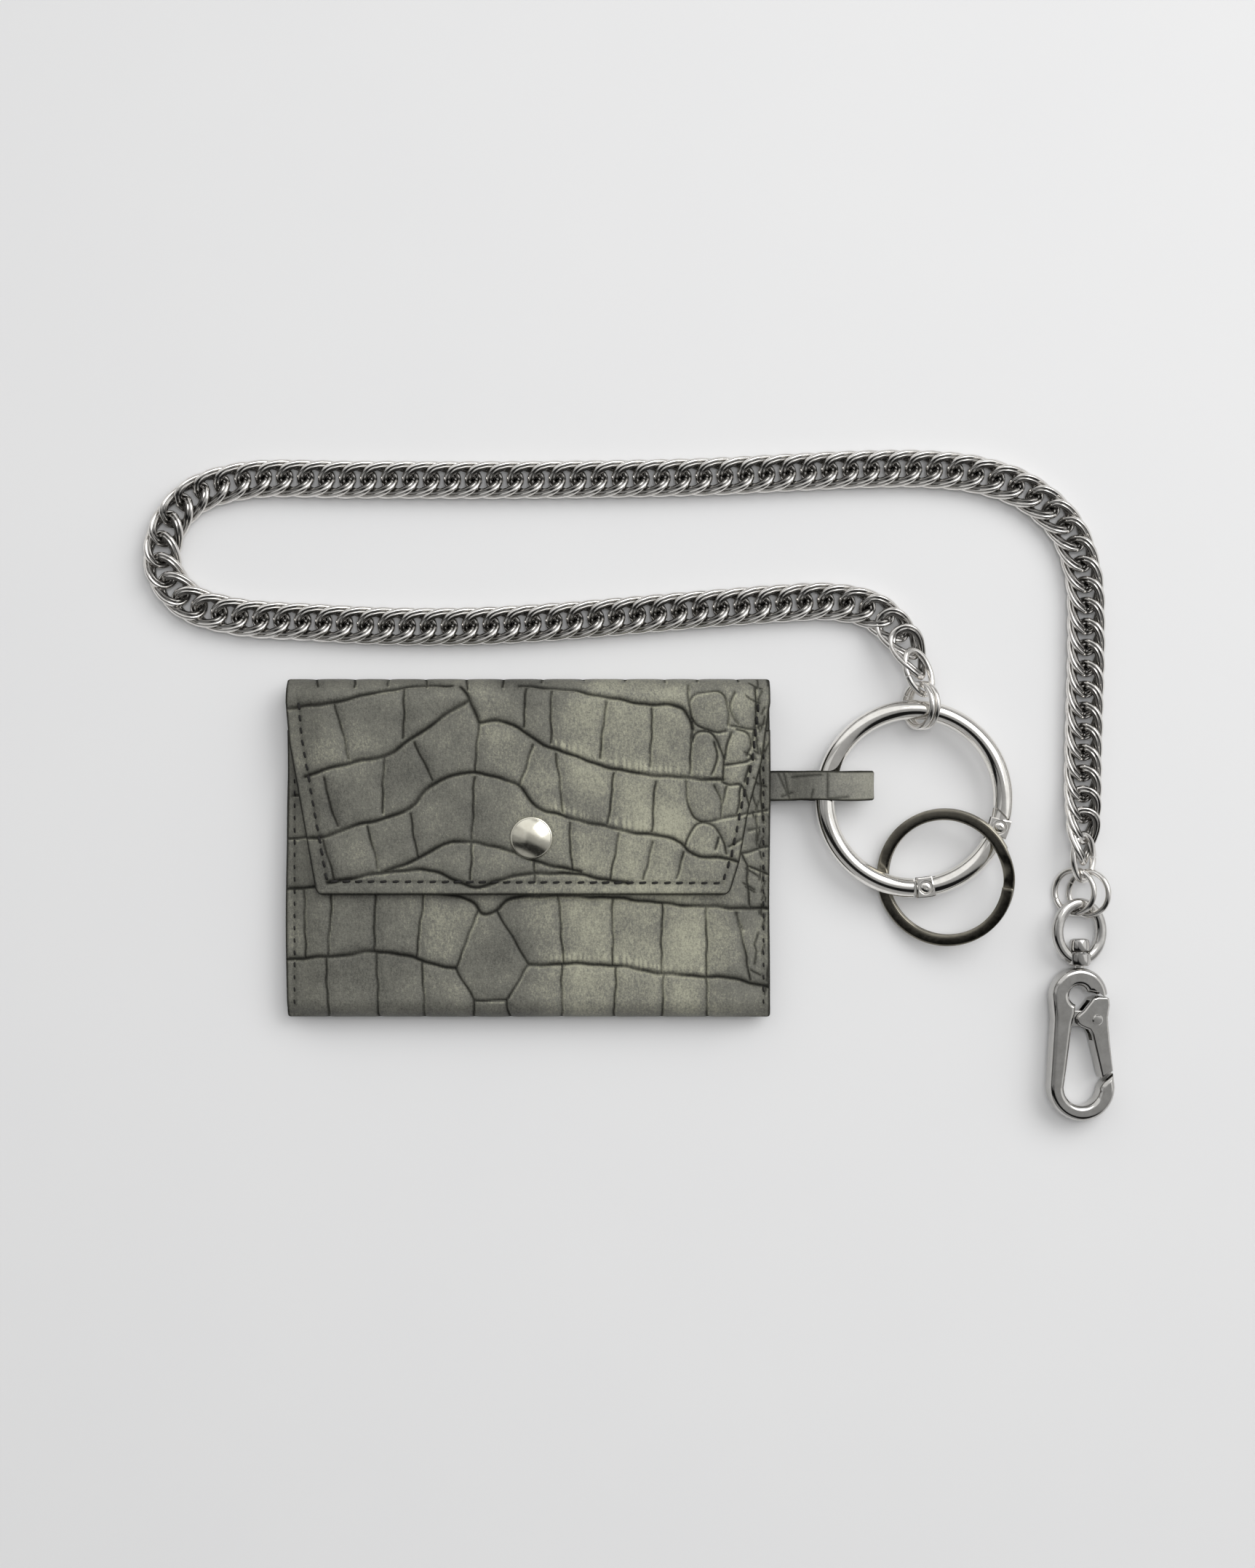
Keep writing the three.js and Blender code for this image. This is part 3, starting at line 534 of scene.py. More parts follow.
# The small uneven scales of the hide's flank, on the right.
FLAP_SCALES = [
    [(37.6, 39), (37.9, 35), (38.5, 31), (38.6, 27), (38, 17.6)],
    [(38, 34.6), (39.4, 36.4), (42, 37.1), (44.8, 37), (46.4, 35.6), (47, 33), (47.1, 29.2)],
    [(38.5, 31), (39.6, 29.2), (42, 27.9), (44.6, 27.4), (46.6, 27.8)],
    [(48.8, 37), (47.8, 34.7), (47.6, 32.5), (48.4, 30.6), (49.4, 29.5)],
    [(53.5, 38.5), (53.8, 35), (53.9, 32), (53.3, 28), (52.7, 24.2), (51.6, 22)],
    [(47.8, 29), (50, 28.7), (53.2, 28), (55.5, 29.4)],
    [(38.8, 25.4), (39.6, 27.2), (41.2, 27.5), (43.2, 27), (44.6, 25.4), (45.4, 23), (46, 20.6),
     (45.9, 15.7)],
    [(44, 25), (44.4, 22), (44.1, 19.6), (43.2, 17.6)],
    [(48, 27.4), (47.3, 25.6), (46.5, 22.6), (46.1, 20.8)],
    [(49.2, 28.2), (51.2, 27.6), (52.2, 26.4), (52.6, 24.2)],
    [(46.4, 19.6), (49.2, 20.1), (51.4, 20.6), (53.4, 22)],
    [(52, 19.6), (51.5, 17.6), (51, 15.9)],
    [(45.9, 15.6), (47.6, 14.9), (50.2, 15), (51.6, 12.6), (52.2, 8.6)],
    [(37.2, 15.9), (37.5, 12.4), (38, 9.6), (38.9, 7.6), (40.7, 6.3), (42.8, 6.4), (45, 7), (48, 7.8),
     (51.8, 8.4)],
    [(44, 14.8), (45.4, 10.9), (45.4, 7.4)],
    [(46.9, 14.6), (45.6, 10.6)],
    [(50.2, 14.6), (49.6, 10.6), (49.1, 8.2)],
    [(37.2, 1), (38, 3.3), (39.4, 5.3), (41, 6), (43.6, 5.5), (45, 3.8), (46, 1.4), (46.7, -1.2)],
    [(44.8, 2.4), (44.1, -0.2)],
    [(47.2, 0.6), (49, 1.6), (50.6, 2.4)],
]
FRONT_ROWS = [
    [(-58, -9.6), (-50.5, -9.2), (-40, -9.4), (-25, -9.8), (-17, -11.3), (-13, -12.8), (-10.8, -15.2),
     (-7.7, -14.8),
     (-4.5, -12.1), (1.7, -11.2), (21, -11.7), (35, -13.2), (57, -14.4)],
    [(-57.5, -26.3), (-45, -25.3), (-37, -24.4), (-29.5, -25), (-23, -27.2), (-17, -28.2)],
    [(0.1, -27.6), (8, -27.2), (20.3, -27.6), (32.7, -29.6), (48.3, -30.7), (57, -33)],
    [(-58, -43.4), (-40, -43), (-17, -43.8), (-12.7, -44.6), (-5, -44.6), (0, -43.2), (20, -43), (58, -44.5)],
]
FRONT_CROSSES = [
    ((-46.2, -10), (-47.2, -25.2)), ((-36, -10), (-36.3, -24.4)), ((-24.5, -10), (-26.4, -25.8)),
    ((-11.8, -14.8), (-17, -28.2)), ((-7.2, -15), (0.1, -27.6)), ((7.2, -11.4), (8.4, -27.1)),
    ((19.9, -11.8), (20, -27.4)), ((31.7, -12.9), (31.4, -29.4)), ((42, -14), (42.2, -30.2)),
    ((49.3, -15), (52.6, -31)), ((-17, -28.2), (-12.7, -35.8)), ((-12.7, -35.8), (-5, -35.7)),
    ((-5, -35.7), (0.1, -27.6)), ((-47.6, -26), (-47, -42)), ((-35.7, -24.6), (-35.2, -42)),
    ((-24.9, -26.5), (-24.4, -42)), ((-12.7, -35.8), (-12.7, -44)), ((-5, -35.7), (-4, -44)),
    ((8, -27.4), (8, -43)), ((20.8, -28), (20.2, -43)), ((32, -29.8), (31.5, -44)), ((42, -30.4),
    (42.5, -44)),
    ((-53, -10), (-52.6, -25.8)), ((-55.8, 12.6), (-52, 12.6)), ((-57, 2.3), (-51, 2.6)), ((51.6, 8),
    (56.5, 9)),
    ((50.4, -1), (57, 0.4)), ((50.4, -1.2), (51.8, -4)), ((51.8, -4), (57, -6.3)), ((51.7, -4.1),
    (52.3, -13.4)),
    ((53.8, 7.6), (54.3, 0.6)), ((52, 4.2), (54.6, 4.8)), ((55.6, 6), (54.2, 26)), ((49, -15), (50.7, -19)),
]


def cross_rows(low_v, high_v, seed):
    """Rows and cross lines for the leather that no front view shows."""
    draw = np.random.default_rng(seed)
    x = np.linspace(-58, 58, 24)
    count = max(1, round((high_v - low_v) / 9.6))
    heights = np.linspace(low_v, high_v, count + 1)
    waves = []
    for k, v in enumerate(heights):
        waves.append(v + 1.6 * np.sin(x / 17 + 0.9 * k) + 0.8 * np.sin(x / 6.5 + 2 * k))
    crosses = []
    for low, high in zip(waves, waves[1:]):
        for place in np.arange(-53 + draw.uniform(0, 6), 56, 9.2):
            bottom, top = place + draw.uniform(-1.6, 1.6), place + draw.uniform(-1.6, 1.6)
            crosses.append(((bottom, np.interp(bottom, x, low)), (top, np.interp(top, x, high))))
    return [list(zip(x, wave)) for wave in waves[1:-1]], crosses


def line_pieces(lines, smooth):
    """The straight pieces, as start and end points, that a list of lines is made of."""
    starts, ends = [], []
    for line in lines:
        points = curve_through(line, 8) if smooth and len(line) > 2 else np.asarray(line, float)
        starts.append(points[:-1])
        ends.append(points[1:])
    return np.vstack(starts), np.vstack(ends)


def distance_to(places, starts, ends):
    """Each place's distance to the nearest of the straight pieces."""
    nearest = np.full(len(places), 99.0)
    for a, b in zip(starts, ends):
        step = b - a
        middle, reach = (a + b) / 2, np.linalg.norm(step) / 2 + 6
        near = np.abs(places - middle).max(axis=1) < reach
        offset = places[near] - a
        share = np.clip(offset @ step / max(step @ step, 1e-9), 0, 1)
        nearest[near] = np.minimum(nearest[near], np.linalg.norm(offset - share[:, None] * step, axis=1))
    return nearest


def crinkle_lines(seed, low_v, high_v):
    """Fine crossing wrinkles on the right-hand edge, where the hide's flank was."""
    draw = np.random.default_rng(seed)
    lines = []
    for _ in range(40):
        x, v = draw.uniform(53.2, 57), draw.uniform(low_v, high_v)
        lean, reach = draw.choice([1.2, 1.5, 1.8, 2.6]), draw.uniform(1, 4)
        lines.append(((x, v), (x + reach * math.cos(lean), v + reach * math.sin(lean))))
    return lines


def wrinkle_ticks(places, rows):
    """Short upright wrinkles just above the rows on the right, from 0 to 1."""
    starts, ends = line_pieces([[(x, v + 1.5) for x, v in row if x > 0] for row in rows], True)
    near = distance_to(places, starts, ends)
    x = places[:, 0]
    beat = 0.5 + 0.5 * np.sin(2 * np.pi * x / 1.3 + 2 * np.sin(x / 2.3) + np.sin(x * 1.9))
    reach = 0.8 + 0.5 * np.sin(x / 1.1) * np.sin(x / 2.7)
    side = smoothstep(x, 4, 9) * (1 - smoothstep(x, 38, 44)) * (0.6 + 0.4 * np.sin(x / 3.3))
    return beat ** 2 * np.exp(-((near / reach) ** 2)) * side


def wandering(places):
    """Places shifted a little, so that lines drawn at them waver as pressed ones do."""
    x, v = places.T
    across = 0.11 * np.sin(v / 1.7 + 1.5 * np.sin(x / 4.1)) + 0.07 * np.sin(v / 0.8 + x / 3)
    up = 0.13 * np.sin(x / 1.9 + 1.4 * np.sin(v / 3.7)) + 0.07 * np.sin(x / 0.9 - v / 2.6)
    return np.c_[x + across, v + up]


def emboss(places, rows, crosses, crinkles, tick_rows):
    """Height, groove darkness and tone of the embossing at places in (x, v); the tone is rubbed lighter on the
    scales and also holds painted highlights and painted shade.
    """
    x, v = places.T
    row_pieces, cross_pieces = line_pieces(rows, True), line_pieces(crosses, True)
    drawn = wandering(places)
    deep, fine = distance_to(drawn, *row_pieces), distance_to(drawn, *cross_pieces)
    nearest = np.minimum(deep, fine)
    strength = 0.78 + 0.22 * np.sin(x / 5.3 + v / 3.9) + 0.1 * np.sin(x / 1.7 - v / 2.9)
    pillow = 1 - np.exp(-((nearest / 1.6) ** 2))
    height = 0.24 * pillow - 0.4 * np.exp(-((deep / 0.5) ** 2)) - 0.24 * np.exp(-((fine / 0.34) ** 2))
    dark = np.maximum(np.exp(-((deep / 0.5) ** 2)), 0.95 * np.exp(-((fine / 0.33) ** 2)))
    dark *= np.clip(strength + 0.2, 0.7, 1)
    crease = distance_to(drawn, *line_pieces(crinkles, False))
    height -= 0.14 * np.exp(-((crease / 0.3) ** 2))
    dark = np.maximum(dark, 0.85 * np.exp(-((crease / 0.28) ** 2)))
    # Painted highlight: a pale line along the lower right side of each groove, where the groove's lip would
    # catch the light.
    lip_highlight_places = drawn + [-0.3, 0.5]
    lip_highlight = np.minimum(distance_to(lip_highlight_places, *row_pieces), distance_to(lip_highlight_places, *cross_pieces))
    tone = 0.28 + 0.2 * pillow + 0.75 * np.exp(-((lip_highlight / 0.28) ** 2)) * (1 - dark)
    # Painted highlight across the right half of the leather and painted shade towards its left edge.
    tone += 0.42 * smoothstep(x, -8, 24) * (1 - 0.6 * smoothstep(x, 36, 50)) - 0.1 * smoothstep(-x, 20, 50)
    # Painted shade where the front turns under at the bottom fold and where the flap turns over at the top
    # fold.
    tone -= 0.4 * smoothstep(-v, 33, 42) + 0.2 * smoothstep(v, 36.5, 41)
    tone += 0.16 * np.sin(x / 7.3 + 2 * np.sin(v / 9)) * np.sin(v / 5.1 + x / 13)
    ticks = wrinkle_ticks(places, tick_rows)
    folds = np.maximum(smoothstep(v, 36, 40), smoothstep(-v, 37, 41))
    return (height + 0.07 * ticks) * (1 - 0.6 * folds), dark, tone + 1.5 * ticks


# ---------------------------------------------------------------- wallet leather
def seam_squeeze(points):
    """Draws soft layers together towards the stitched sides, but less where the strap lies between them."""
    points = np.array(points, float)
    x, y = points[:, 0], points[:, 1]
    side = smoothstep(np.abs(x), HALF_WIDTH - SEAM_REACH, HALF_WIDTH - 1)
    strap_room = 0.65 * np.exp(-(((y - STRAP_Y) / 5) ** 2)) * (x > 0)
    sink = (SEAM_SINK - strap_room) * side
    height = points[:, 2] - SEAM_MIDDLE_Z
    share = np.minimum(np.abs(height) / SEAM_INNER, 1)
    points[:, 2] -= np.sign(height) * sink * share
    return points


def edge_drop(distance):
    """How far the surface falls within the rounding of a cut edge."""
    inside = np.clip(EDGE_ROUND - distance, 0, EDGE_ROUND)
    return EDGE_ROUND - np.sqrt(np.maximum(EDGE_ROUND ** 2 - inside ** 2, 0))


def with_fine_ends(values, start=True, end=True):
    """Adds close steps next to the ends, where a sheet's edge is rounded."""
    values = list(values)
    steps = [0.06, 0.16, 0.32, 0.52]
    if start:
        first, direction = values[0], np.sign(values[1] - values[0])
        values = [first] + [first + s * direction for s in steps] + values[2:]
    if end:
        last, direction = values[-1], np.sign(values[-1] - values[-2])
        values = values[:-2] + [last - s * direction for s in reversed(steps)] + [last]
    return np.array(values)


def no_hollow(places):
    return np.zeros(len(places))


def leather_sheet(name, profile, v_values, edges, thick, material, relief, round_ends=(True, True),
                  column_step=0.32, hollow=no_hollow, finish=seam_squeeze):
    """A bent sheet of leather.

    profile(v) gives y, z and the outward direction (ny, nz); edges(v) gives the left and right x.
    relief(places) gives height, groove and tone of the outer face, the tone holding painted highlights and
    shade;
    hollow(places) how far the inner face gives way, and finish(points) puts the sheet in its place.
    """
    y, z, ny, nz = profile(v_values)
    left, right = edges(v_values)
    width = float(np.max(right - left))
    columns = with_fine_ends(np.linspace(0, width, int(width / column_step))) / width
    x = left[:, None] + (right - left)[:, None] * columns[None]
    v = np.repeat(v_values[:, None], len(columns), axis=1)
    side = np.minimum(x - left[:, None], right[:, None] - x)
    ends = np.full_like(side, 9.0)
    if round_ends[0]:
        ends = np.minimum(ends, np.abs(v - v_values[0]))
    if round_ends[1]:
        ends = np.minimum(ends, np.abs(v - v_values[-1]))
    drop = edge_drop(np.minimum(side, ends)).ravel()
    places = np.c_[x.ravel(), v.ravel()]
    height, groove, polish_and_painted_light = relief(places)
    fade = smoothstep(np.minimum(side, ends).ravel(), 0, 1.0)
    base = np.c_[x.ravel(), np.repeat(y, len(columns)), np.repeat(z, len(columns))]
    normal = np.c_[np.zeros(len(base)), np.repeat(ny, len(columns)), np.repeat(nz, len(columns))]
    outer = base + normal * (height * fade - drop)[:, None]
    inner = base - normal * (thick - drop - hollow(places))[:, None]
    rows, count = len(v_values), len(columns)
    faces = grid_faces(rows, count) + inner_faces(rows, count) + rim_faces(rows, count)
    offset = rows * count
    used = np.unique(np.concatenate([np.array(face) for face in faces]))
    renumbered = np.zeros(2 * offset, int)
    renumbered[used] = np.arange(len(used))
    faces = [tuple(renumbered[list(face)]) for face in faces]
    # Edge dye and painted shadow: the cut edges and the last 0.75 mm inside them are darkened, standing in for
    # the shadow line where an edge lies on the leather below.
    edge_dye_and_shadow = 0.88 - 0.88 * smoothstep(np.minimum(side, ends).ravel(), 0.2, 0.75)
    piece = make_piece(name, finish(np.vstack([outer, inner])[used]), faces, material, sharp_angle=80)
    set_values(piece, "groove", np.concatenate([np.maximum(groove, edge_dye_and_shadow), edge_dye_and_shadow])[used])
    set_values(piece, "polish_and_painted_light", np.concatenate([polish_and_painted_light, np.full(offset, 0.2)])[used])
    return piece


def rim_faces(rows, count):
    """The faces round the rim that join a sheet's outer grid to its inner one."""
    border = [*range(count), *(i * count + count - 1 for i in range(1, rows))]
    border += [(rows - 1) * count + j for j in range(count - 2, -1, -1)]
    border += [i * count for i in range(rows - 2, 0, -1)]
    offset = rows * count
    return [(a, b, b + offset, a + offset) for a, b in zip(border, border[1:] + border[:1])]


def inner_faces(rows, count, every=3):
    """The sheet's plain inner face, on a coarser grid that still meets each point of the border."""
    kept_rows = [*range(0, rows - 1, every), rows - 1]
    kept_columns = [*range(0, count - 1, every), count - 1]
    faces = []
    for top, bottom in zip(kept_rows, kept_rows[1:]):
        for left, right in zip(kept_columns, kept_columns[1:]):
            loop = [(top, j) for j in (range(left, right + 1) if top == 0 else (left, right))]
            loop += [(i, right) for i in (range(top + 1, bottom + 1) if right == count - 1 else (bottom,))]
            loop += [(bottom, j) for j in (range(right - 1, left - 1, -1) if bottom == rows - 1 else (left,))]
            loop += [(i, left) for i in (range(bottom - 1, top, -1) if left == 0 else ())]
            faces.append(tuple(rows * count + i * count + j for i, j in loop))
    return faces


BODY_FOLD_Y = BOTTOM_Y + FRONT_TOP / 2
TOP_FOLD_Y = TOP_Y - FLAP_TOP / 2
FOLD_LENGTH = math.pi * FRONT_TOP / 2
TOP_FOLD_LENGTH = math.pi * FLAP_TOP / 2


def body_profile(v, inset=0.0):
    """Front panel, bottom fold and back panel: v falls from the mouth down and round to the back."""
    radius = FRONT_TOP / 2 - inset
    turned = np.clip((BODY_FOLD_Y - v) / radius, 0, math.pi)
    past = np.maximum(BODY_FOLD_Y - math.pi * radius - v, 0)
    y = np.where(v > BODY_FOLD_Y, v, BODY_FOLD_Y - radius * np.sin(turned)) + past
    z = FRONT_TOP / 2 + radius * np.cos(turned)
    return y, z, -np.sin(turned), np.cos(turned)


def flap_profile(v):
    """Top fold and flap: v falls from the back, round the top fold, to the flap's lower edge."""
    radius = FLAP_TOP / 2
    turned = np.clip((v - TOP_FOLD_Y) / radius, 0, math.pi)
    y = np.where(v < TOP_FOLD_Y, v, TOP_FOLD_Y + radius * np.sin(turned))
    z = radius + radius * np.cos(turned)
    return y, z, np.sin(turned), np.cos(turned)


BACK_START_V = BODY_FOLD_Y - FOLD_LENGTH
BACK_END_V = BACK_START_V - (TOP_FOLD_Y - BODY_FOLD_Y)
FLAP_SEAM = [
    (-54.1, 35), (-53.2, 26), (-47.1, -7.7), (0, -7.9), (45.8, -8.1), (48, -1.5), (50.2, 9.5), (53, 21),
    (54.5, 35),
]
SIDE_SEAM_X = 55.3


def body_seams():
    """The body's side seams in (x, v), down the front and up the back."""
    bottom = BODY_FOLD_Y - 1.5
    back = BACK_START_V + 1.5
    seams = []
    for x in (-SIDE_SEAM_X, SIDE_SEAM_X + 0.4):
        seams.append([(x, MOUTH_Y - 2), (x, bottom)])
        seams.append([(x, back), (x, BACK_END_V + 8)])
    return seams


def body_edges(v):
    """The body's sides, a little wavy as cut leather is."""
    wave = 0.25 * np.sin(v / 11) * smoothstep(np.abs(v - BACK_END_V), 0, 10)
    return -HALF_WIDTH + 0.25 + wave, HALF_WIDTH - 0.25 + 0.6 * wave


FLAP_LEFT = [(-10.9, -49.7), (24.8, -56.4), (34.4, -57.25), (60, -57.25)]
FLAP_RIGHT = [(-10.9, 47.4), (-3, 49.9), (9.3, 52.1), (20.3, 55.2), (34.4, 57.25), (60, 57.25)]


def flap_edges(v):
    """The flap's sides, drawn in towards rounded lower corners."""
    left, right = (np.interp(v, *np.array(points, float).T) for points in (FLAP_LEFT, FLAP_RIGHT))
    corner = 1.6
    inside = np.clip(corner - (v - FLAP_END_Y), 0, corner)
    inset = corner - np.sqrt(np.maximum(corner ** 2 - inside ** 2, 0))
    return left + inset, right - inset


def row_values(*stretches):
    """Places along a sheet: stretches of (from, to, step)."""
    values = [np.linspace(a, b, max(2, round(abs(b - a) / step) + 1))[:-1] for a, b, step in stretches]
    return np.concatenate(values + [[stretches[-1][1]]])


def from_snap(places):
    return np.linalg.norm(places - SNAP_XY, axis=1)


def stitch_channel(places, lines):
    """The shallow channel that tight stitches pull into the leather."""
    starts, ends = line_pieces(lines, False)
    return 0.16 * np.exp(-((distance_to(places, starts, ends) / 0.55) ** 2))


def body_relief(places):
    rows, crosses = cross_rows(BACK_END_V, -44.5, 5)
    crinkles = crinkle_lines(3, -38, 26)
    ticks = FRONT_ROWS[2:3]
    height, groove, polish_and_painted_light = emboss(places, FRONT_ROWS + rows, FRONT_CROSSES + crosses, crinkles, ticks)
    snap = smoothstep(from_snap(places), 4.3, 5.5)
    height = height * snap - 0.45 * (1 - smoothstep(from_snap(places), 4.2, 4.5))
    channel = stitch_channel(places, body_seams())
    return height - channel, np.maximum(groove * snap, 1.5 * channel), polish_and_painted_light


def flap_relief(places):
    rows, crosses = cross_rows(39.5, TOP_FOLD_Y + TOP_FOLD_LENGTH, 8)
    crinkles = crinkle_lines(4, -8, 40)
    ticks = FLAP_ROWS[3:5]
    crosses = FLAP_CROSSES + FLAP_SCALES + crosses
    height, groove, polish_and_painted_light = emboss(places, FLAP_ROWS + rows, crosses, crinkles, ticks)
    snap = smoothstep(from_snap(places), 4.3, 5.8)
    channel = stitch_channel(places, [FLAP_SEAM])
    return height * snap - channel, np.maximum(groove, 2 * channel), polish_and_painted_light


def socket_hollow(places):
    return 0.9 * (1 - smoothstep(from_snap(places), 4.3, 4.6))


def build_body_leather():
    v = row_values((MOUTH_Y, BODY_FOLD_Y, 0.32), (BODY_FOLD_Y, BACK_START_V, 0.4),
                   (BACK_START_V, BACK_END_V, 0.6))
    v = with_fine_ends(v, end=False)
    piece = leather_sheet("body_leather", body_profile, v, body_edges, LEATHER, wallet_leather, body_relief,
                          round_ends=(True, False))
    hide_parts("outer_shell")
    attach(piece, "wallet")


def build_flap_leather():
    v = row_values((TOP_FOLD_Y + TOP_FOLD_LENGTH, TOP_FOLD_Y, 0.4), (TOP_FOLD_Y, FLAP_END_Y, 0.3))
    v = with_fine_ends(v, start=False)
    piece = leather_sheet("flap_leather", flap_profile, v, flap_edges, LEATHER, wallet_leather, flap_relief,
                          round_ends=(False, True), hollow=socket_hollow)
    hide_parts("flap")
    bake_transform(piece)


def flat_relief(places):
    soft = 0.05 * np.sin(places[:, 0] / 7) * np.sin(places[:, 1] / 9)
    return soft, np.zeros(len(places)), np.full(len(places), 0.5)


def flap_cloth_shape():
    """The flap's lining, drawn in at the sides like the leather, with a round opening for the socket."""
    low, high = node_box("flap_lining")
    y = np.linspace(high[1], low[1] - 0.2, 36)
    left, right = flap_edges(y)
    width = (right - left - 2 * LINING_MARGIN)[:, None]
    x = (left + LINING_MARGIN)[:, None] + width * np.linspace(0, 1, 90)
    flat = np.c_[x.ravel(), np.repeat(y, x.shape[1])]
    grids = np.vstack([np.c_[flat, np.full(len(flat), z)] for z in (high[2], low[2])])
    faces = grid_faces(*x.shape) + grid_faces(*x.shape, first=x.size) + rim_faces(*x.shape)
    opening = lathe([(0, 0), (SOCKET_OPENING, 0), (SOCKET_OPENING, FLAP_TOP), (0, FLAP_TOP)])
    return combine((seam_squeeze(grids), faces), [placed(opening, UPRIGHT, (*SNAP_XY, 0))], "DIFFERENCE")


def build_linings():
    piece = make_piece("flap_cloth", *flap_cloth_shape(), cloth, sharp_angle=80)
    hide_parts("flap_lining")
    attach(piece, "flap")
    profile = lambda v: body_profile(v, LINING_INSET)
    reach = HALF_WIDTH - 2 * LINING_MARGIN
    sides = lambda v: (np.full_like(v, -reach), np.full_like(v, reach))
    fold_end = BODY_FOLD_Y - 9
    v = row_values((MOUTH_Y - 1, BODY_FOLD_Y, 1.2), (BODY_FOLD_Y, fold_end, 0.6),
                   (fold_end, POCKET_END_V, 1.2))
    piece = leather_sheet("pocket_cloth", profile, with_fine_ends(v), sides, LINING, cloth, flat_relief,
                          column_step=1.2)
    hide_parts("pocket_lining")
    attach(piece, "wallet")


def stitch(middle, direction, outward, size):
    """One thread stitch that arches out of the leather and dives back in."""
    t = np.linspace(-1, 1, 7)
    radius = STITCH["radius"] * size
    path = np.asarray(middle) + np.outer(t * STITCH["length"] * size / 2, direction)
    path += np.outer(0.12 - 0.42 * t ** 4, outward)
    return sweep(path, super_section(radius, radius * 0.8, 2, 8), end_round=0.05)


def stitch_row(line, place_on_sheet, size=1.0, lean=0.12):
    """Stitches along a line in (x, v); place_on_sheet gives a point's place and its outward direction."""
    seam = Line(line)
    parts = []
    for distance in np.arange(STITCH["pitch"] / 2, seam.length, STITCH["pitch"]):
        x, v = seam.point(distance)
        dx, dv = seam.along(distance)
        middle, outward = place_on_sheet(x, v)
        ahead, _ = place_on_sheet(x + (dx - lean * dv) * 0.5, v + (dv + lean * dx) * 0.5)
        direction = (ahead - middle) / np.linalg.norm(ahead - middle)
        parts.append(stitch(middle, direction, outward, size))
    return parts


def on_profile(profile):
    """Places on a folded sheet's outer face, drawn together at the sides as the leather is."""
    def place(x, v):
        y, z, ny, nz = (float(value[0]) for value in profile(np.array([float(v)])))
        return seam_squeeze([[x, y, z]])[0], np.array([0, ny, nz])
    return place


def build_stitches():
    piece = make_piece("flap_stitches", *gather(stitch_row(FLAP_SEAM, on_profile(flap_profile))), thread)
    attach(piece, "flap")
    parts = []
    for seam in body_seams():
        parts += stitch_row(seam, on_profile(body_profile), STITCH["side_size"])
    piece = make_piece("side_stitches", *gather(parts), thread)
    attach(piece, "wallet")


build_body_leather()
build_flap_leather()
build_linings()
build_stitches()


# ---------------------------------------------------------------- metal pieces
def metal_piece(name, parts, material, body, nodes):
    piece = make_piece(name, *gather(parts), material, sharp_angle=32)
    flat_faces = piece.modifiers.new("flat_faces", "WEIGHTED_NORMAL")
    flat_faces.keep_sharp = True
    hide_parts(*nodes)
    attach(piece, body)


def coil(radius, length, turns, wire=0.2):
    """A small compression spring about Z."""
    t = np.linspace(0, 1, turns * 16)
    angle = 2 * np.pi * turns * t
    path = np.c_[radius * np.cos(angle), radius * np.sin(angle), length * (t - 0.5)]
    return sweep(path, super_section(wire, wire, 2, 8), end_round=0.05)


# ---------------------------------------------------------------- snap fastener
def dome(radius, low, high, steps=14):
    """Profile of a shallow dome from its rim to its top."""
    sphere = (radius ** 2 + (high - low) ** 2) / (2 * (high - low))
    r = radius * np.cos(np.linspace(0, np.pi / 2, steps))
    return [(x, high - sphere + math.sqrt(sphere ** 2 - x ** 2)) for x in r[:-1]] + [(0, high)]


def build_snap():
    top, z = cap_high[2], FLAP_TOP
    rim = [(0, z - 0.45), (1.2, z - 0.45), (1.2, z + 0.05), (4.6, z + 0.05), (4.85, z + 0.12), (4.95, z + 0.3),
           (4.88, z + 0.48), (4.7, z + 0.56), (4.58, z + 0.55)]
    cap = placed(lathe(rim + dome(4.5, z + 0.56, top), 72), UPRIGHT, (*SNAP_XY, 0))
    metal_piece("snap_dome", [cap], cream_nickel, "flap", ["snap_cap"])
    low, high = node_box("snap_socket")
    points = [(2.5, low[2] + 0.15), (2.65, low[2]), (4.05, low[2]), (4.2, low[2] + 0.15), (4.2, high[2]),
              (2.5, high[2])]
    angle = np.linspace(0, 2 * np.pi, 48, endpoint=False)
    rings = [np.c_[r * np.cos(angle), r * np.sin(angle), np.full(48, z)] for r, z in points]
    socket = np.vstack(rings), grid_faces(len(points), 48, close_rows=True, close_columns=True)
    metal_piece("socket_ring", [placed(socket, UPRIGHT, (*SNAP_XY, 0))], nickel, "flap", ["snap_socket"])
    low, high = (corner[2] for corner in node_box("snap_stud"))
    stud = [(0, low), (4.0, low), (4.1, low + 0.1), (4.1, low + 0.5), (3.9, low + 0.62), (2.3, low + 0.66),
            (2.0, low + 0.8), (2.0, low + 1.1), (2.2, low + 1.35), (2.2, high - 0.35), (1.9, high - 0.05),
            (1.5, high), (0, high)]
    metal_piece("stud_button", [placed(lathe(stud), UPRIGHT, (*SNAP_XY, 0))], nickel, "wallet", ["snap_stud"])
    low, high = (corner[2] for corner in node_box("snap_stud_post"))
    post = [(0, low), (4.1, low), (4.3, low + 0.2), (4.2, low + 0.55), (1.6, low + 0.6), (1.4, high), (0, high)]
    post = placed(lathe(post), UPRIGHT, (*SNAP_XY, 0))
    metal_piece("stud_rivet", [post], nickel, "wallet", ["snap_stud_post"])


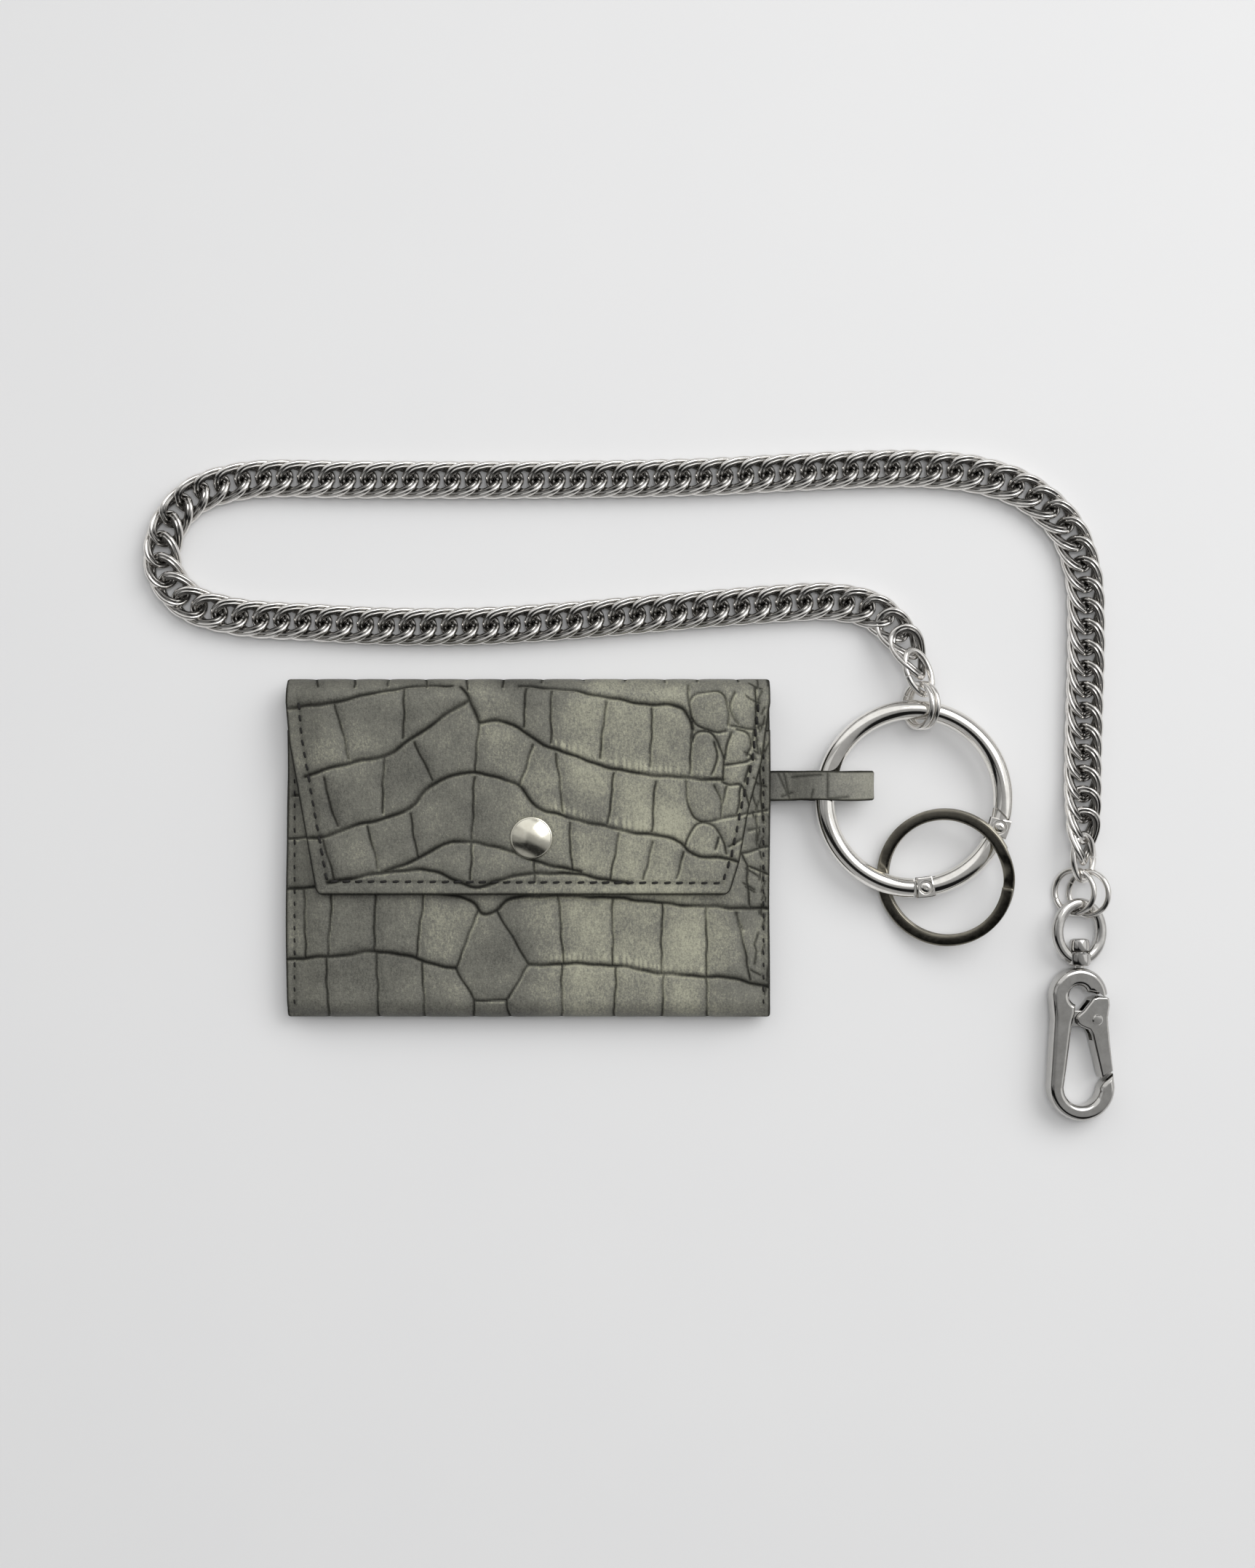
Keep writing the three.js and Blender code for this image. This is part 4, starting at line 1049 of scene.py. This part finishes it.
# ---------------------------------------------------------------- strap
# Side view of the strap's outer face in (X, Z): out of the seam, round the ring, and back to a sharp fold.
STRAP_SIDE = [
    (55.4, 3.4), (58.2, 3.35), (60.5, 3.3), (63, 2.9), (66, 2.35), (70.4, 2.2), (75, 2.7), (79, 3.9),
    (81.2, 4.9),
    (81.9, 5.7), (81.75, 6.6), (80.6, 7.5), (77.5, 8.9), (74, 10.0), (70.6, 10.45), (67.4, 9.9), (64.6, 8.1),
    (62, 6.1), (60.2, 5.5), (58.2, 5.45), (55.4, 5.4),
]
# Creases in the strap, in (X, Y from its middle line).
STRAP_CREASES = [
    [(70.5, -4), (70.6, 4)], [(62.4, 2), (65, 2.3), (69.1, 2.6)], [(60.3, 4), (61.2, 0), (61.9, -4)],
    [(59.2, 3), (60.3, 0.4), (61.2, -1.6)], [(60, -2.6), (62.5, -1.6)], [(71, -3), (75.5, -2.7)],
    [(66.5, -3.4), (67.2, -1)],
]


def build_strap():
    side = Line(curve_through(STRAP_SIDE, 10))

    def profile(v):
        point, along = side.point(v), side.along(v)
        return point[:, 0], point[:, 1], along[:, 1], -along[:, 0]

    def edges(v):
        wave = 0.12 * np.sin(v / 3.1)
        return -STRAP_WIDTH / 2 + wave, STRAP_WIDTH / 2 + 0.5 * wave

    def relief(places):
        x, top = side.point(places[:, 1])[:, 0], places[:, 1] > side.length / 2
        flat = np.c_[x, places[:, 0]]
        near = distance_to(flat, *line_pieces(STRAP_CREASES, True))
        sunk = np.exp(-((near / 0.3) ** 2)) * np.where(top, 1, 0.5)
        swell = 0.08 * np.sin(x / 2.3) * np.cos(places[:, 0] / 2)
        worn = 0.75 * smoothstep(x, 57, 62) + 0.3 * smoothstep(np.abs(places[:, 0]), 2.4, 3.4)
        worn += 0.35 * smoothstep(x, 70, 80)
        return swell - 0.18 * sunk, 0.7 * sunk, worn

    def lay(points):
        return points[:, [1, 0, 2]] + [0, STRAP_Y, 0]

    v = with_fine_ends(np.linspace(0.0, side.length, 176))
    piece = leather_sheet("strap_leather", profile, v, edges, STRAP_THICK, strap_leather, relief,
                          column_step=0.3, finish=lay)
    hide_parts("loop_strap")
    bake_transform(piece)


# ---------------------------------------------------------------- gate ring
RING_CENTRE = np.array([RING["x"], RING["y"], RING["z"]])


def on_ring(degrees):
    angle = math.radians(degrees)
    return RING["radius"] * math.cos(angle), RING["radius"] * math.sin(angle)


def ring_wire(start, end, steps, shear_start=0.0, shear_end=0.0):
    """Part of the ring between two angles; a shear slants its end face across the wire."""
    degrees = np.linspace(start, end, steps)
    degrees = np.concatenate([[start, start + 0.3], degrees[1:-1], [end - 0.3, end]])
    sides = 40
    rings = []
    for k, at in enumerate(degrees):
        shrink = 0.94 if k in (0, len(degrees) - 1) else 1.0
        section = super_section(RING["wire"] * shrink, RING["wire"] * shrink, 2, sides)
        slant = shear_start * (1 - smoothstep(at, start, start + 10))
        slant += shear_end * smoothstep(at, end - 10, end)
        angle = np.radians(at) + slant * section[:, 0] / RING["radius"]
        radius = RING["radius"] + section[:, 0]
        rings.append(np.c_[radius * np.cos(angle), radius * np.sin(angle), section[:, 1]])
    points = np.vstack(rings)
    faces = grid_faces(len(degrees), sides, close_columns=True)
    return points, faces + [tuple(range(sides)), tuple(range(len(points) - sides, len(points)))]


def ring_plate(start, end, half_wide, half_thick, bevel=0.05):
    """A flat curved plate in the ring's plane, such as a tongue, the slot for it or a rivet's block."""
    inner, outer = RING["radius"] - half_wide, RING["radius"] + half_wide
    outline = arc(0, 0, outer, start, end, 9) + arc(0, 0, inner, end, start, 9)
    return slab(outline, half_thick, bevel, 2)


def rivet(radius):
    """A spun rivet in a turned ring, from just under the surface up."""
    rim = [(0.35, -0.6), (0.35, 0.05), (0.25, 0.14), (0.1, 0.12), (0, -0.06), (-0.22, -0.08), (-0.35, 0.08),
           (-0.6, 0.2)]
    middle = [(0.45, 0.24), (0.3, 0.12), (0, 0.1)]
    return lathe([(0, -0.6)] + [(radius + step, z) for step, z in rim] + middle, 40)


def both_sides(part, x, y, z):
    """A part on the top face and its mirror on the under face."""
    return [placed(part, UPRIGHT, (x, y, z)), placed(part, OVER, (x, y, -z))]


def build_gate_ring():
    slant = 0.74
    hinge_tongue = ring_plate(RING["hinge_seam"] - 5, RING_PIN["hinge"] + 5, 1.8, 0.7)
    latch_tongue = ring_plate(RING_PIN["latch"] - 3.5, RING["latch_seam"] + 6, 1.8, 0.7)
    body = ring_wire(RING["latch_seam"] + 0.55, 360 + RING["hinge_seam"] - 0.3, 150, shear_start=-slant)
    body = combine(body, [hinge_tongue, latch_tongue], "UNION")
    metal_piece("gate_ring_body", [placed(body, UPRIGHT, RING_CENTRE)], nickel, "gate_ring", ["ring_body"])
    gate = ring_wire(RING["hinge_seam"] + 1.3, RING["latch_seam"] - 0.2, 110, shear_end=-slant)
    blocks = [ring_plate(pin - 5.6, pin + 5.6, 2.42, RING["wire"] - 0.02, 0.35) for pin in RING_PIN.values()]
    gate = combine(gate, blocks, "UNION")
    slots = [ring_plate(RING["hinge_seam"] - 6, RING_PIN["hinge"] + 8, 3.2, 1.0),
             ring_plate(RING_PIN["latch"] - 11, RING["latch_seam"] + 8, 3.2, 1.0)]
    gate = combine(gate, slots, "DIFFERENCE")
    metal_piece("gate_ring_gate", [placed(gate, UPRIGHT, RING_CENTRE)], nickel, "ring_gate", ["ring_gate"])
    rivets = (("hinge", "gate_ring", "ring_hinge_pin"), ("latch", "ring_gate", "ring_latch_pin"))
    for name, body_name, node in rivets:
        shaft = lathe([(0, -RING["wire"]), (0.8, -RING["wire"]), (0.8, RING["wire"]), (0, RING["wire"])], 24)
        parts = both_sides(rivet(1.5), *on_ring(RING_PIN[name]), RING["wire"] - 0.02)
        parts.append(placed(shaft, UPRIGHT, (*on_ring(RING_PIN[name]), 0)))
        parts = [placed(part, UPRIGHT, RING_CENTRE) for part in parts]
        metal_piece(f"ring_{name}_rivet", parts, nickel, body_name, [node])
    at = RING_PIN["hinge"] + 19.4
    spring = placed(coil(0.95, 7, 6), turn("Z", at) @ Z_TO_Y, (*on_ring(at), 0))
    spring = placed(spring, UPRIGHT, RING_CENTRE)
    metal_piece("ring_spring", [spring], steel, "ring_gate", ["ring_gate_spring"])


# ---------------------------------------------------------------- split ring, jump rings and single links
def build_key_ring():
    """Two flat turns of bevelled spring wire, one below and one above, with a short ramp between."""
    degrees = np.linspace(0, 686, 260)
    angle = np.radians(degrees + 7)
    z = KEY_RING["pitch"] * (smoothstep(degrees, 330, 358) - 0.5)
    path = np.c_[KEY_RING["radius"] * np.cos(angle), KEY_RING["radius"] * np.sin(angle), z]
    part = sweep(path, super_section(KEY_RING["band"] / 2, KEY_RING["thick"] / 2, 3.6, 28), end_round=0.1)
    rotation = turn("Z", KEY_RING["towards"]) @ turn("Y", -KEY_RING["lean"])
    part = placed(part, rotation, (KEY_RING["x"], KEY_RING["y"], RING["z"]))
    metal_piece("split_ring", [part], dark_nickel, "key_ring", ["key_ring"])


def build_jump_rings(side, rings, body):
    for n, letter in enumerate("ab"):
        part = open_ring(JUMP_RING["radius"], JUMP_RING["radius"], JUMP_RING["wire"], 150 if n else 200)
        part = placed(part, turn("Y", -rings["lean"]), rings["centres"][n])
        metal_piece(f"{side}_ring_{letter}", [part], chain_nickel, body, [f"{side}_jump_ring_{letter}"])


def single_link(route, at, link):
    """A plain oval link on the chain's line, rolled about its own length."""
    x, y = route.point(at)
    along = route.along(at)
    rotation = turn("Z", math.degrees(math.atan2(along[1], along[0]))) @ turn("X", link["roll"])
    ring = open_ring(LINK["half_length"], LINK["half_width"], LINK["wire"], 90, 72, 16)
    return placed(ring, rotation, (x, y, link["z"]))


# ---------------------------------------------------------------- woven curb chain
def curb_link():
    """One link: a long oval of grooved wire, twisted so that it passes through its neighbours lying flat."""
    t = np.linspace(0, 2 * np.pi, 64, endpoint=False)
    x, y = CURB["half_length"] * np.cos(t), CURB["half_width"] * np.sin(t)
    path = np.c_[x, y, -CURB["twist"] * np.sin(2 * t)]
    wire = super_section(CURB["wide"], CURB["thick"], 2, 28)
    groove = np.exp(-((wire[:, 0] / 0.26) ** 2))
    wire[:, 1] *= 1 - 0.34 * groove
    points, faces = sweep(path, wire, closed=True)
    # Painted shade for the recesses: the wire's middle groove and the inside of the link, where its neighbours
    # pass through, are darkened in the material.
    towards_hole = np.hypot(points[:, 0] / CURB["half_length"], points[:, 1] / CURB["half_width"]) < 0.93
    recess_shade = np.maximum(0.7 * np.tile(groove, len(path)), 0.85 * towards_hole)
    return (points, faces), recess_shade


def chain_height_and_roll(at, length):
    """The chain lies on the table, and climbs and rolls towards the rings at its two ends."""
    start = 1 - smoothstep(at, LINK["half_length"], CURB["rise"])
    end = smoothstep(at, length - CURB["rise"], length - LINK["half_length"])
    z = CHAIN["z"] + (FIRST_LINK["z"] - CHAIN["z"]) * start + (LAST_LINK["z"] - CHAIN["z"]) * end
    return z, FIRST_LINK["roll"] * start + LAST_LINK["roll"] * end


def build_chain():
    route = Line(curve_through(CHAIN_ROUTE, 60))
    step = (route.length - 2 * CHAIN["link_room"] + CHAIN["break"]) / CHAIN["bars"]
    middles = [CHAIN["link_room"] + n * step + (step - CHAIN["break"]) / 2 for n in range(CHAIN["bars"])]
    first = LINK["half_length"] + CURB["reach"]
    count = round((route.length - 2 * first) / CURB["pitch"])
    link, recess_shade = curb_link()
    groups = [[] for _ in range(CHAIN["bars"] - 1)]
    for at in np.linspace(first, route.length - first, count + 1):
        x, y = route.point(at)
        along = route.along(at)
        z, roll = chain_height_and_roll(at, route.length)
        rotation = turn("Z", math.degrees(math.atan2(along[1], along[0]))) @ turn("X", roll)
        group = min(max(int(np.searchsorted(middles, at)) - 1, 0), len(groups) - 1)
        groups[group].append(placed(link, rotation, (x, y, z)))
    for n, parts in enumerate(groups, start=1):
        before, after = f"chain_{n:02d}", f"chain_{n + 1:02d}"
        piece = make_piece(f"curb_links_{n:02d}", *gather(parts), chain_nickel)
        set_values(piece, "recess_shade", np.tile(recess_shade, len(parts)))
        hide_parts(*([before, after] if n == len(groups) else [before]))
        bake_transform(piece)
    half = LINK["half_length"]
    last = f"chain_{CHAIN['bars']:02d}"
    link = single_link(route, half, FIRST_LINK)
    metal_piece("first_chain_link", [link], chain_nickel, "chain_01", ["first_link"])
    link = single_link(route, route.length - half, LAST_LINK)
    metal_piece("last_chain_link", [link], chain_nickel, last, ["last_link"])


# ---------------------------------------------------------------- swivel and snap hook
EYE_CENTRE = (SWIVEL["x"], SWIVEL["eye_y"], SWIVEL["z"])
BOSS_TOP, BOSS_BOTTOM = -5.0, -8.0


def build_swivel():
    loop = oval_path(SWIVEL["half_width"], SWIVEL["half_height"], 0, 360, 97)[:-1]
    eye = sweep(loop, super_section(1.3, 1.2, 2.6, 28), closed=True)
    boss = lathe([(0, BOSS_BOTTOM), (2.3, BOSS_BOTTOM), (2.6, BOSS_BOTTOM + 0.3), (2.75, BOSS_BOTTOM + 1.2),
                  (2.7, BOSS_TOP - 0.3), (2.45, BOSS_TOP), (0, BOSS_TOP)], 40)
    eye = combine(eye, [placed(boss, Z_TO_Y, (0, 0, 0))], "UNION")
    eye = placed(eye, turn("Y", SWIVEL["lean"]), EYE_CENTRE)
    metal_piece("swivel_ring", [eye], hook_nickel, "swivel_eye", ["swivel_eye"])
    head = [(0, 0.25), (1.9, 0.25), (2.25, 0.6), (2.35, 1.2), (2.35, 2.5), (2.15, 3.1), (1.6, 3.35), (0, 3.4)]
    head = [(radius, BOSS_TOP + step) for radius, step in head]
    shaft = [(0, BOSS_BOTTOM - 3), (1.1, BOSS_BOTTOM - 3), (1.1, BOSS_TOP + 0.5), (0, BOSS_TOP + 0.5)]
    parts = [placed(lathe(profile, 40), Z_TO_Y, EYE_CENTRE) for profile in (head, shaft)]
    metal_piece("swivel_rivet", parts, hook_nickel, "hook", ["swivel_post"])


def hook_body_outline():
    outline = [(7.2, 0.3)] + arc(0.3, -0.3, 6.8, 6, 168, 30)
    outline += [(-6.55, 0.2), (-6.35, -2.6), (-6.1, -5.4), (-6.3, -9), (-6.7, -15), (-7.1, -21)]
    outline += arc(0.9, -21.8, 8, 177, 360, 34) + [(8.5, -18.6), (6.2, -20.4), (5.1, -22.0)]
    outline += arc(0.8, -21.8, 4.4, -12, -180, 24) + [(-2.9, -17), (-1.6, -6.9), (-0.9, -4.2)]
    return outline + arc(0, 0, 2.3, -108, -340, 26) + [(4.4, 0.4)]


# The gate's head reaches over the tongue and up to the hook's nose; its arm closes the opening.
HOOK_GATE = [
    (8.3, -18.0), (7.5, -11), (7.2, -7.6), (7.05, -5.2), (7.5, -2.3), (7.3, -0.7), (6.6, -0.35), (4.6, -0.3),
    (3.4, -0.7), (2.6, -1.8), (1.2, -3.5), (-0.2, -4.7), (-0.6, -5.5), (-0.4, -6.7), (0.6, -7.4), (2.5, -8.2),
    (3.2, -9.4), (5.6, -19.6),
]


def build_hook():
    rotation = turn("Y", HOOK["lean"])
    centre = np.array([SWIVEL["x"], HOOK["hole_y"], SWIVEL["z"]]) + rotation @ [HOOK["shift"], 0, 0]
    half, (x, y) = HOOK["thick"] / 2, HOOK["gate_pivot"]
    lug = slab([(-2.4, -3.6), (-2.2, -7.4)] + arc(x, y, 1.9, -90, 100, 14), 1.0, 0.15, 2)
    body = combine(slab(hook_body_outline(), half, 1.25, 7), [lug], "UNION")
    metal_piece("hook_frame", [placed(body, rotation, centre)], hook_nickel, "hook", ["hook_body"])
    slot = slab([(x - 8, y - 5), (x + 8, y - 5), (x + 8, y + 4.5), (x - 8, y + 4.5)], 1.35, 0.05, 1)
    gate = combine(slab(HOOK_GATE, half, 0.5, 4), [slot], "DIFFERENCE")
    metal_piece("hook_lever", [placed(gate, rotation, centre)], hook_nickel, "hook_gate", ["hook_gate"])
    pin = lathe([(0, -0.6), (1.2, -0.6), (1.3, 0.1), (1.0, 0.35), (0, 0.42)], 32)
    shaft = lathe([(0, -half), (0.9, -half), (0.9, half), (0, half)], 24)
    parts = both_sides(pin, x, y, half) + [placed(shaft, UPRIGHT, (x, y, 0))]
    parts = [placed(part, rotation, centre) for part in parts]
    metal_piece("hook_rivet", parts, hook_nickel, "hook", ["hook_gate_pin"])
    tilt = turn("Z", 8)
    spring = placed(coil(0.6, 3.4, 4), tilt @ Z_TO_Y, np.array([5.3, -10.4, 0]) + tilt @ [0, -2, 0])
    spring = placed(spring, rotation, centre)
    metal_piece("hook_spring", [spring], steel, "hook_gate", ["hook_gate_spring"])


build_snap()
build_strap()
build_gate_ring()
build_key_ring()
build_jump_rings("start", START_RINGS, "start_rings")
build_chain()
build_jump_rings("end", END_RINGS, "end_rings")
build_swivel()
build_hook()


# ---------------------------------------------------------------- studio
def build_studio():
    floor_material, tree, shader = new_material("pale_floor")
    paper = noise(tree, 0.02, 3, 0.5)
    tree.links.new(mixed(tree, paper, (0.78, 0.78, 0.785), (0.8, 0.8, 0.8)), shader.inputs["Base Color"])
    shader.inputs["Roughness"].default_value = 0.9
    reach, z = 1500, -0.05
    corners = [(-reach, -reach, z), (reach, -reach, z), (reach, reach, z), (-reach, reach, z)]
    floor = make_piece("floor", corners, [(0, 1, 2, 3)], floor_material)


def build_camera():
    """Straight down on the wallet, framed as tall as the chain and hook need."""
    height, frame_height, sensor = 650, 375, 36
    data = bpy.data.cameras.new("camera")
    data.sensor_width = sensor
    data.lens = sensor * height / frame_height
    data.clip_start = 0.01
    camera = bpy.data.objects.new("camera", data)
    camera.location = (23.5 * MM, 15.2 * MM, height * MM)
    bpy.context.scene.collection.objects.link(camera)
    bpy.context.scene.camera = camera


def add_panel(name, location, size, power, mirrored=True, aim=(0.03, 0.015, 0)):
    """A soft rectangular light turned towards a point; only a mirrored one shows in polished metal."""
    data = bpy.data.lights.new(name, "AREA")
    data.shape = "RECTANGLE"
    data.size, data.size_y = size
    data.energy = power
    light = bpy.data.objects.new(name, data)
    light.location = location
    light.visible_glossy = mirrored
    light.rotation_euler = (Vector(aim) - Vector(location)).to_track_quat("-Z", "Y").to_euler()
    bpy.context.scene.collection.objects.link(light)


def build_world():
    """A pale studio, bright towards +X and +Y and dark on the other side, for the metal to reflect."""
    world = bpy.data.worlds.new("studio")
    world.use_nodes = True
    tree = world.node_tree
    place = add_node(tree, "ShaderNodeTexCoord").outputs["Generated"]
    split = add_node(tree, "ShaderNodeSeparateXYZ")
    tree.links.new(place, split.inputs[0])
    bright_side = add_node(tree, "ShaderNodeVectorMath", operation="DOT_PRODUCT")
    bright_side.inputs[1].default_value = (0.42, 0.91, 0)
    tree.links.new(place, bright_side.inputs[0])
    ramp = add_node(tree, "ShaderNodeValToRGB")
    tree.links.new(stretched(tree, bright_side.outputs["Value"], -1, 1), ramp.inputs[0])
    stops = [(0.0, 0.4), (0.12, 0.35), (0.16, 0.01), (0.36, 0.01), (0.41, 0.3), (0.58, 0.42), (0.62, 1.0),
             (0.86, 1.0), (0.92, 0.3)]
    while len(ramp.color_ramp.elements) < len(stops):
        ramp.color_ramp.elements.new(0.5)
    for element, (at, value) in zip(ramp.color_ramp.elements, stops):
        element.position = at
        element.color = (value, value, value, 1)
    near_horizon = stretched(tree, split.outputs["Z"], 0.3, 0.12)
    background = tree.nodes["Background"]
    tree.links.new(mixed(tree, near_horizon, ramp.outputs[0], (0.42, 0.42, 0.42)), background.inputs["Color"])
    background.inputs["Strength"].default_value = 1.0
    bpy.context.scene.world = world


build_studio()
build_camera()
build_world()
add_panel("window_right", (0.55, 0.5, 0.75), (0.7, 0.7), 4.4)
add_panel("window_left", (-0.6, 0.1, 0.7), (0.6, 0.8), 0.4)
add_panel("overhead", (0.08, 0.06, 0.95), (0.35, 0.35), 2.2, mirrored=False)
bpy.context.scene.view_settings.view_transform = "Standard"
